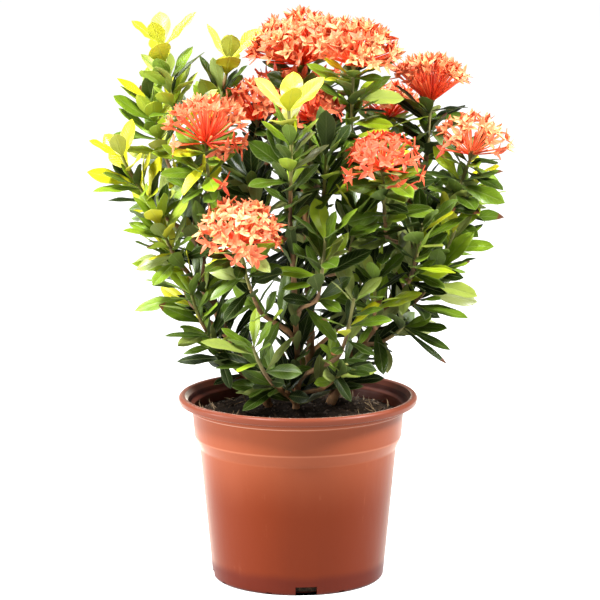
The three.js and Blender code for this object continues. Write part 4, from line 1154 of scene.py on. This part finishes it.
# ---------------------------------------------------------------------------
# Wood, leaves and flowers
# ---------------------------------------------------------------------------

def knotty(shares, length, first, last, seed, joint):
    """Radii along a woody bar, with a low ring at each old leaf joint."""
    radii = []
    for share in shares:
        beat = share * length / joint + scatter(seed, 1)
        ring = math.exp(-(((beat % 1) - 0.5) * 7) ** 2)
        rough = 1 + WOOD["knot"] * ring + WOOD["uneven"] * spread(seed, round(share * 97) + 3)
        radii.append(mix(first, last, share) * rough)
    return radii


def make_trunks(look):
    """The trunks, which flare at the ground, with the woody branches that lead to their shoots."""
    bark = wood_finish("bark", look, False)
    for order, (name, (path, foot, top)) in enumerate(TRUNKS.items()):
        tissue = Tissue()
        curve = trunk_curve(path)
        length = curve.length()
        shares = np.linspace(0.0, 1, int(length / WOOD["step"]))
        flare = [1 + WOOD["flare"] * max(0, 1 - share * length / WOOD["flare_height"]) for share in shares]
        radii = knotty(shares, length, foot, top, order + 5, WOOD["joint"])
        radii = [radius * min(wider, WOOD["flare_limit"]) for radius, wider in zip(radii, flare)]
        bar(tissue, curve, shares, radii, 12, (scatter(order, 2), 1))
        for i, (_, parent, share, shoot_foot, tip, *_) in enumerate(SHOOTS):
            if parent != name:
                continue
            arm = branch_curve(path, share, shoot_foot, tip)
            reach = arm.length()
            steps = np.linspace(0, 1, max(5, int(reach / WOOD["step"])))
            root_radius, tip_radius = BRANCH["root_radius"], BRANCH["tip_radius"]
            radii = knotty(steps, reach, root_radius, tip_radius, i + 31, WOOD["branch_joint"])
            bar(tissue, arm, steps, radii, 9, (scatter(i, 3), 1))
        trunk = tissue.piece(name + "_bark", [bark], "bark", sharp=60)
        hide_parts(name)


def stem_bar(tissue, stem, finish):
    """A leafy stem, a little swollen at each of its leaf joints."""
    curve, length = stem["curve"], stem["curve"].length()
    shares = np.linspace(0, 1, max(6, int(length / STEM_SKIN["step"])))
    radii = []
    for share in shares:
        off = [(share - band) * length / STEM_SKIN["joint_height"] for band in stem["shares"]]
        swell = max(math.exp(-(d ** 2)) for d in off)
        radii.append(STEM["radius"] * mix(*STEM_SKIN["taper"], share) * (1 + STEM_SKIN["swell"] * swell))
    bar(tissue, curve, shares, radii, 8, (scatter(stem["seed"], 9), 0), finish)


def leaf_tone(tone, leaf):
    """Leaves are yellower on their shoot's crown and each has its own shade. Painted light makes the leaves high
    up, on the left and at the front lighter and yellower, and painted shade darkens those low down and in the
    bush's heart."""
    x, y, z = leaf_place(leaf, 0.6)
    # Painted light: leaves on the left, high up and at the front are lighter.
    sunny = -SUN["left"] * x / SUN["half_width"] + SUN["up"] * (z - SUN["middle"]) / SUN["half_height"]
    sunny -= SUN["front"] * y / SUN["half_depth"]
    own = spread(leaf["seed"], 33)
    own *= abs(own) * TONE_SHIFT["own_lime" if tone == "lime" else "own"]
    # Painted shade: leaves low down, in the heart and in the core are darker.
    low = TONE_SHIFT["low"] * part_way(z, *SHADY_LOW)
    heart = part_way(abs(x), *PAINTED_SHADE_HEART["side"]) * part_way(y, *PAINTED_SHADE_HEART["depth"])
    core = part_way(abs(x), *PAINTED_SHADE_CORE["side"]) * part_way(z, *PAINTED_SHADE_CORE["foot"]) * part_way(z, *PAINTED_SHADE_CORE["top"])
    shift = TONE_SHIFT["crown"] * (leaf["crown"] - 0.6) + TONE_SHIFT["sun"] * sunny + own
    return TONES[tone] + shift - low - TONE_SHIFT["heart"] * (heart + core) - TONE_SHIFT["all"]


def leafy_stems():
    """Node, plan, tone and branch of each leafy shoot and young tip. A young tip has no branch of its own."""
    stems, curves = [], {}
    for i, (name, parent, share, foot, tip, counts, leaf, tone) in enumerate(SHOOTS):
        stem = plan_stem(foot, tip, counts, leaf, i + 1)
        curves[name] = stem["curve"]
        stems.append(("shoot_" + name, stem, tone, branch_curve(TRUNKS[parent][0], share, foot, tip)))
    for i, (name, parent, tip, counts, leaf) in enumerate(YOUNG):
        curve = curves[parent]
        stem = plan_stem(curve.point(1) + curve.way(1) * GAP, tip, counts, leaf, SEEDS["young"] + i)
        stems.append((name, stem, "young", None))
    return stems


def head_hearts():
    """Centre and radius of the heart of each flower head, which no thickening leaf may enter."""
    hearts = []
    for _, parent, facing, radius, *_ in BLOOMS:
        axis = unit(np.array(facing, float))
        hearts.append((SHOOT_TIPS[parent] + axis * (GAP + HEAD_NECK + radius * 0.62), radius * 0.64))
    return hearts


def thickening(stem, branch, under_head, look, room, hearts):
    """The spare leaves of a leafy stem and its branch: closest high in the bush and in its middle."""
    x, y, z = stem["curve"].point(0.5)
    inner = part_way(abs(x), *INNER_BUSH["side"]) * part_way(y, *INNER_BUSH["depth"])
    high = max(part_way(z, *UPPER_BUSH), inner)
    low_right = part_way(x, *LOWER_RIGHT["side"]) * part_way(z, *LOWER_RIGHT["height"])
    step = mix(SPARE_ROWS["low_step"] + SPARE_ROWS["low_right_step"] * low_right, look.leaf_step / MM, high)
    levels = np.arange(*SPARE_ROWS["stem"], max(step / stem["curve"].length(), SPARE_ROWS["least"]))
    top_rise = SPARE["top_rise"]
    if under_head:
        levels, top_rise = np.append(levels, SPARE_ROWS["under_head"]), SPARE["rise_under_head"]
    grown = spare_leaves(stem["curve"], levels, stem["leaf"], stem["seed"], room, hearts, top_rise)
    step = max(SPARE_ROWS["branch_step"] / branch.length(), SPARE_ROWS["branch_least"])
    levels = np.arange(mix(*SPARE_ROWS["branch"], high), SPARE_ROWS["top"], step)
    return grown + spare_leaves(branch, levels, stem["leaf"], stem["seed"] + SEEDS["branch"], room, hearts)


def make_leafy(look):
    """Dresses shoots, young tips and trunks. The solids' leaves and the lone ones take their places before the
    leaves that thicken the bush look for room among them."""
    blade, skin = leaf_finish(look), wood_finish("stem_skin", look, True)
    thickness = look.leaf_thickness / MM
    room, hearts = ElbowRoom(), head_hearts()
    head_bearers = {"shoot_" + parent for _, parent, *_ in BLOOMS}
    stems = [(name, stem, tone, branch, solid_leaves(name, stem)) for name, stem, tone, branch in leafy_stems()]
    lone = [(owner, lone_leaf(foot, tip, width, chance, SEEDS["lone"] + i), tone)
            for i, (owner, foot, tip, width, tone, chance) in enumerate(LONE_LEAVES)]
    for leaf in [leaf for *_, leaves in stems for leaf in leaves] + [leaf for _, leaf, _ in lone]:
        room.add(ElbowRoom.samples(leaf))

    for name, stem, tone, branch, leaves in stems:
        tissue = Tissue()
        if tone == "young":
            for leaf in leaves:
                leaf["width"] *= YOUNG_BREADTH
                grow_leaf(tissue, leaf, TONES["young"], thickness)
        else:
            for leaf in leaves + thickening(stem, branch, name in head_bearers, look, room, hearts):
                grow_leaf(tissue, leaf, leaf_tone(tone, leaf), thickness)
        for owner, leaf, shade in lone:
            if owner == name:
                grow_leaf(tissue, leaf, shade, thickness)
        stem_bar(tissue, stem, 1)
        piece = tissue.piece(name + "_leaves", [blade, skin], LEAF_SLOTS[tone])
        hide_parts(name)

    for i, (name, (path, *_)) in enumerate(TRUNKS.items()):
        curve = trunk_curve(path)
        step = look.trunk_leaf_step / MM / curve.length()
        levels = np.arange(look.trunk_leaf_start, SPARE_ROWS["top"], step)
        seed = SEEDS["trunk"] + SEEDS["trunk_step"] * i
        tissue = Tissue()
        for leaf in spare_leaves(curve, levels, TRUNK_LEAF["length"], seed, room, hearts):
            # Painted shade: the trunks' leaves are darker still.
            grow_leaf(tissue, leaf, leaf_tone("deep", leaf) - TRUNK_LEAF["darker"], thickness)
        tissue.piece(name + "_leaves", [blade], LEAF_SLOTS["deep"])


def petal_points(root, along, face, length, width, curl, seed):
    """A narrow pointed petal that is hollowed along its middle."""
    t, s, side = PETAL_NET["t"], PETAL_NET["s"], PETAL_NET["side"]
    outline = np.maximum(np.sin(np.pi * t ** 0.66).clip(0, 1) ** 1.1, 0.18 * (1 - t) + 0.02)
    reach = s * width / 2 * outline
    lift = PETAL["hollow"] * np.abs(reach) - curl * t * t * length
    lift += side * PETAL["half_thickness"] * (1 - PETAL["thin_edge"] * s ** 4)
    lift += PETAL["warp"] * spread(seed, 6) * t * s
    across = np.cross(face, along)
    return root + np.outer(t * length, along) + np.outer(reach, across) + np.outer(lift, face)


def grow_floret(tissue, base, end, size, tint, rise, seed, paleness=0.0):
    """A straight tube with a four-petalled star, or now and then a pointed bud, at its end."""
    bow = np.array([spread(seed, 1), spread(seed, 2), 0.6 * spread(seed, 7)]) * FLORET["bow"]
    tube = Bezier(base, (base + end) / 2 + bow, end)
    chance = scatter(seed, 11)
    if scatter(seed, 12) < FLORET["budded"]:
        bar(tissue, tube, *LONG_BUD, 6, (chance, paleness), 1)
        return
    bar(tissue, tube, *TUBE, 6, (chance, paleness), 1)
    heading = tube.way(1)
    across = square_to(np.array([spread(seed, 3), spread(seed, 4), 0.3]), heading)
    side = np.cross(heading, across)
    turn = 2 * math.pi * scatter(seed, 5)
    tilt = rise + FLORET["tilt"] * spread(seed, 13)
    width = size * mix(*FLORET["width"], scatter(seed, 26))
    for k in range(4):
        angle = turn + math.pi / 2 * k + FLORET["petal_turn"] * spread(seed, 14 + k)
        radial = across * math.cos(angle) + side * math.sin(angle)
        lean = math.radians(tilt + FLORET["petal_tilt"] * spread(seed, 18 + k))
        along = radial * math.cos(lean) + heading * math.sin(lean)
        face = heading * math.cos(lean) - radial * math.sin(lean)
        length = size * mix(*FLORET["length"], scatter(seed, 22 + k))
        curl = FLORET["curl"] * spread(seed, 27 + k)
        points = petal_points(end + radial * FLORET["throat"], along, face, length, width, curl, seed + k)
        tissue.add(points, PETAL_NET["faces"], PETAL_NET["places"], (chance, tint))
    bar(tissue, Bezier(end - heading, end, end + heading * FLORET["style"]), *STYLE, 4, (0.9, 1.0))


class Head:
    """Where a flower head stands, the way it faces and what its florets are like."""

    def __init__(self, order, look):
        self.name, parent, facing, self.radius, edge, self.florets, self.tint, self.rise = BLOOMS[order]
        self.paleness, self.buds, self.crown, self.front = HEAD_DETAIL.get(self.name, PLAIN_HEAD)
        self.axis = unit(np.array(facing, float))
        self.across = square_to(RIGHT, self.axis)
        self.side = np.cross(self.axis, self.across)
        self.seat = SHOOT_TIPS[parent]
        self.centre = self.seat + self.axis * (GAP + HEAD_NECK)
        self.widest = math.radians(edge * look.head_spread)
        self.size = look.petal_length / MM * mix(0.84, 1.0, min(self.radius / 40, 1))
        self.seed = order * SEEDS["head_step"]

    def way(self, turn, polar):
        """The way out at an angle round the head's axis and an angle from it."""
        out = self.across * math.cos(turn) + self.side * math.sin(turn)
        return self.axis * math.cos(polar) + out * math.sin(polar)

    def open_florets(self, tissue):
        """Florets spread evenly over the head, and a green stalk under every other one of them."""
        for k in range(self.florets):
            seed = self.seed + k
            share = (1 - math.cos(self.widest)) * (k + 0.5) / self.florets
            polar = math.acos(1 - share) + 0.1 * spread(seed, 41)
            way = self.way(k * math.pi * GOLDEN + 0.3 * spread(seed, 42), polar)
            if -way[1] > self.front:
                continue
            # Florets sunk deeper in the head get a redder, darker tint: painted shade.
            depth = scatter(seed, 43) ** 4
            reach = self.radius * mix(0.93, 0.74, depth) * mix(1, self.crown, max(math.cos(polar), 0))
            grow_floret(tissue, self.centre + way * TUBE_START, self.centre + way * reach, self.size,
                        self.tint - 0.3 * depth, self.rise, seed, self.paleness)
            if k % 2 == 0:
                stalk = Bezier(self.seat - self.axis, self.centre - self.axis * 2, self.centre + way * 4)
                bar(tissue, stalk, *STALK, 5, (scatter(seed, 44), 0), 2)

    def inner_buds(self, tissue, share):
        """Shorter tubes with buds that fill the head: a share of its number of florets."""
        for k in range(int(self.florets * share * self.buds)):
            seed = self.seed + SEEDS["bud"] + k
            polar = self.widest * mix(0.45, 1.08, scatter(seed, 41))
            way = self.way(2 * math.pi * scatter(seed, 42), polar)
            reach = self.radius * mix(0.5, 0.82, scatter(seed, 43))
            start, middle = self.centre + way * TUBE_START, self.centre + way * reach * 0.5
            tube = Bezier(start, middle, self.centre + way * reach)
            bar(tissue, tube, *INNER_BUD, 6, (scatter(seed, 44), 0), 1)

    def fallen_florets(self, tissue):
        """Florets that hang below the head, and single ones caught among the leaves near it."""
        for k, (turn, polar, share) in enumerate(HANGING.get(self.name, ())):
            way = self.way(math.radians(turn), math.radians(polar))
            start, end = self.centre + way * TUBE_START, self.centre + way * self.radius * share
            grow_floret(tissue, start, end, self.size, HANGING_LOOK["tint"], HANGING_LOOK["rise"],
                        self.seed + SEEDS["hanging"] + k)
        for k, (name, foot, end) in enumerate(STRAY):
            if name == self.name:
                grow_floret(tissue, np.array(foot, float), np.array(end, float), self.size,
                            STRAY_LOOK["tint"], STRAY_LOOK["rise"], SEEDS["stray"] + k)


def make_blooms(look):
    """The flower heads: open florets, buds among them, and the florets that hang or lie loose."""
    finishes = [petal_finish(look), tube_finish(look), calyx_finish(look)]
    for order, (name, *_) in enumerate(BLOOMS):
        head, tissue = Head(order, look), Tissue()
        head.open_florets(tissue)
        head.inner_buds(tissue, look.inner_buds)
        head.fallen_florets(tissue)
        bloom = tissue.piece(name + "_florets", finishes, "petals", sharp=50)
        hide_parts(name)


# ---------------------------------------------------------------------------
# Stage
# ---------------------------------------------------------------------------

def make_floor(look):
    """A wide floor that glows evenly, with painted shadow under the pot: dark ground that doesn't glow."""
    mesh = bpy.data.meshes.new("floor")
    reach = FLOOR["reach"]
    corners = [(x * reach, y * reach, -FLOOR["below"]) for x, y in ((-1, -1), (1, -1), (1, 1), (-1, 1))]
    mesh.from_pydata(corners, [], [(0, 1, 2, 3)])
    floor = bpy.data.objects.new("floor", mesh)
    bpy.context.scene.collection.objects.link(floor)
    finish = Finish("floor")
    _, radius = finish.height_and_radius()
    # Painted shadow: within the shaded reach the floor is near black and gives no glow.
    open_floor = finish.ease(radius, look.shaded_reach - MM, look.shaded_reach)
    ground = finish.blend(open_floor, (0.004, 0.004, 0.004), dimmed(look.floor_colour, 0.35))
    finish.set(Base_Color=ground, Roughness=0.95, Specular_IOR_Level=0.0, Emission_Color=look.floor_colour,
               Emission_Strength=finish.math("MULTIPLY", open_floor, look.floor_glow))
    mesh.materials.append(finish.material)


def light_room(look):
    """Soft light from all round, and the lamps."""
    world = bpy.data.worlds.new("soft_room")
    bpy.context.scene.world = world
    world.use_nodes = True
    sky = world.node_tree.nodes["Background"].inputs
    sky["Color"].default_value = (0.96, 0.98, 1.0, 1)
    sky["Strength"].default_value = look.room_light
    for name, (size, place) in LAMPS.items():
        lamp = bpy.data.lights.new(name, "AREA")
        lamp.energy, lamp.size = getattr(look, name + "_light"), size
        lamp_object = bpy.data.objects.new(name, lamp)
        lamp_object.location = place
        aim = Vector(LAMPS_AIM) - Vector(place)
        lamp_object.rotation_euler = aim.to_track_quat("-Z", "Y").to_euler()
        bpy.context.scene.collection.objects.link(lamp_object)


def set_camera():
    camera = bpy.data.cameras.new("camera")
    camera.lens, camera.sensor_width = CAMERA["lens"], CAMERA["sensor"]
    camera_object = bpy.data.objects.new("camera", camera)
    camera_object.location = CAMERA["place"]
    camera_object.rotation_euler = (math.pi / 2 - CAMERA["looks_down"], 0, 0)
    bpy.context.scene.collection.objects.link(camera_object)
    bpy.context.scene.camera = camera_object
    bpy.context.scene.view_settings.view_transform = "Standard"


# ---------------------------------------------------------------------------
# Settings, operators and panel
# ---------------------------------------------------------------------------

def colour(name, description, default):
    return FloatVectorProperty(name=name, description=description, default=default, subtype="COLOR",
                               min=0, max=1)


def millimetres(name, description, default, least=0.0):
    return FloatProperty(name=name, description=description, default=default * MM, unit="LENGTH",
                         min=least * MM)


def watts(name, description, default):
    return FloatProperty(name=name, description=description + ", in watts", default=default, unit="POWER")


def share_of(name, description, default):
    return FloatProperty(name=name, description=description, default=default, subtype="FACTOR", min=0, max=1)


class IxoraLook(bpy.types.PropertyGroup):
    """Sizes and colours of the plant, its pot and the stage."""

    pot_edge: millimetres("Pot edge rounding", "Radius of the moulded edges", 1.1)
    pot_segments: IntProperty(name="Pot segments", description="Facets round the pot", default=144, min=24)
    plastic_colour: colour("Pot colour", "Moulded plastic", (0.112, 0.0145, 0.0008))
    mix_colour: colour("Potting mix colour", "Damp mix", (0.017, 0.0105, 0.0065))
    crumbs: IntProperty(name="Crumbs", description="Loose crumbs on the potting mix", default=500, min=0)
    fibres: IntProperty(name="Fibres", description="Loose fibres on the potting mix", default=140, min=0)
    bark_colour: colour("Bark colour", "Old wood", (0.2, 0.098, 0.037))
    stem_colour: colour("Stem colour", "Young green stem", (0.15, 0.15, 0.03))
    trunk_leaf_start: share_of("Trunk leaf start", "Share of a trunk below its first leaf", 0.3)
    trunk_leaf_step: millimetres("Trunk leaf step", "Height between pairs of leaves on a trunk", 6, 2)
    leaf_step: millimetres("Leaf step", "Height between pairs of leaves on the upper shoots", 6.5, 2)
    leaf_thickness: millimetres("Leaf thickness", "Thickness of a leaf blade", 0.5, 0.1)
    translucency: share_of("Leaf glow", "Share of light that comes through a leaf", 0.22)
    young_colour: colour("Young leaf colour", "Leaves at the young tips", (0.62, 0.6, 0.012))
    petal_length: millimetres("Petal length", "Length of a petal", 9.4, 1)
    petal_colour: colour("Petal colour", "Fresh petals", (0.7, 0.08, 0.024))
    petal_pale_colour: colour("Pale petal colour", "Older petals", (0.79, 0.285, 0.11))
    tube_colour: colour("Tube colour", "Floret tubes", (0.9, 0.045, 0.008))
    head_spread: FloatProperty(
        name="Head spread", default=0.82, min=0.2, max=1.2,
        description="How far out a head's lowest florets stand, as a share of the way to the edge of its heart")
    inner_buds: FloatProperty(
        name="Inner buds", default=0.55, min=0, max=2,
        description="Budded tubes inside a head for each open floret")
    floor_colour: colour("Floor colour", "Pale floor", (0.95, 0.95, 0.95))
    floor_glow: FloatProperty(
        name="Floor glow", default=0.97, description="Light that the pale floor gives back")
    shaded_reach: millimetres("Shaded reach", "Radius of the dark ground under the pot", 66.8)
    room_light: FloatProperty(
        name="Room light", default=0.15, description="Strength of the light from all round")
    key_light: watts("Key light", "Main light", 144)
    fill_light: watts("Fill light", "Light from the right", 7)
    back_light: watts("Back light", "Light through the leaves", 28)
    low_light: watts("Low light", "Light on the left of the pot", 56)
    side_light: watts("Side light", "Light that grazes the right side", 144)


class IXORA_OT_pot(bpy.types.Operator):
    """Makes the nursery pot with its rolled rim, step and drain slots"""

    bl_idname = "ixora.pot"
    bl_label = "Nursery pot"
    bl_options = {"REGISTER", "UNDO"}

    def execute(self, context):
        make_pot(context.scene.ixora_look)
        return {"FINISHED"}


class IXORA_OT_soil(bpy.types.Operator):
    """Makes the potting mix with its crumbs and fibres"""

    bl_idname = "ixora.soil"
    bl_label = "Potting mix"
    bl_options = {"REGISTER", "UNDO"}

    def execute(self, context):
        make_soil(context.scene.ixora_look)
        return {"FINISHED"}


class IXORA_OT_trunks(bpy.types.Operator):
    """Makes the woody trunks and their branches"""

    bl_idname = "ixora.trunks"
    bl_label = "Trunks"
    bl_options = {"REGISTER", "UNDO"}

    def execute(self, context):
        make_trunks(context.scene.ixora_look)
        return {"FINISHED"}


class IXORA_OT_leaves(bpy.types.Operator):
    """Makes the leafy shoots and the young tips"""

    bl_idname = "ixora.leaves"
    bl_label = "Leafy shoots"
    bl_options = {"REGISTER", "UNDO"}

    def execute(self, context):
        make_leafy(context.scene.ixora_look)
        return {"FINISHED"}


class IXORA_OT_blooms(bpy.types.Operator):
    """Makes the flower heads"""

    bl_idname = "ixora.blooms"
    bl_label = "Flower heads"
    bl_options = {"REGISTER", "UNDO"}

    def execute(self, context):
        make_blooms(context.scene.ixora_look)
        return {"FINISHED"}


class IXORA_OT_stage(bpy.types.Operator):
    """Makes the floor, the lights and the camera"""

    bl_idname = "ixora.stage"
    bl_label = "Stage"
    bl_options = {"REGISTER", "UNDO"}

    def execute(self, context):
        make_floor(context.scene.ixora_look)
        light_room(context.scene.ixora_look)
        set_camera()
        return {"FINISHED"}


OPERATORS = (IXORA_OT_stage, IXORA_OT_pot, IXORA_OT_soil, IXORA_OT_trunks, IXORA_OT_leaves, IXORA_OT_blooms)


class IXORA_PT_build(bpy.types.Panel):
    """Lists what the plant is made of"""

    bl_idname = "IXORA_PT_build"
    bl_label = "Potted ixora"
    bl_space_type = "VIEW_3D"
    bl_region_type = "UI"
    bl_category = "Ixora"

    def draw(self, context):
        for operator in OPERATORS:
            self.layout.operator(operator.bl_idname)
        look = context.scene.ixora_look
        for name in look.bl_rna.properties.keys():
            if name not in ("rna_type", "name"):
                self.layout.prop(look, name)


CLASSES = (IxoraLook, *OPERATORS, IXORA_PT_build)


def register():
    for cls in CLASSES:
        bpy.utils.register_class(cls)
    bpy.types.Scene.ixora_look = PointerProperty(type=IxoraLook)


def unregister():
    del bpy.types.Scene.ixora_look
    for cls in reversed(CLASSES):
        bpy.utils.unregister_class(cls)


def main():
    register()
    for operator in OPERATORS:
        section, name = operator.bl_idname.split(".")
        getattr(getattr(bpy.ops, section), name)()
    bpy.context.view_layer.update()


if __name__ == "__main__":
    main()
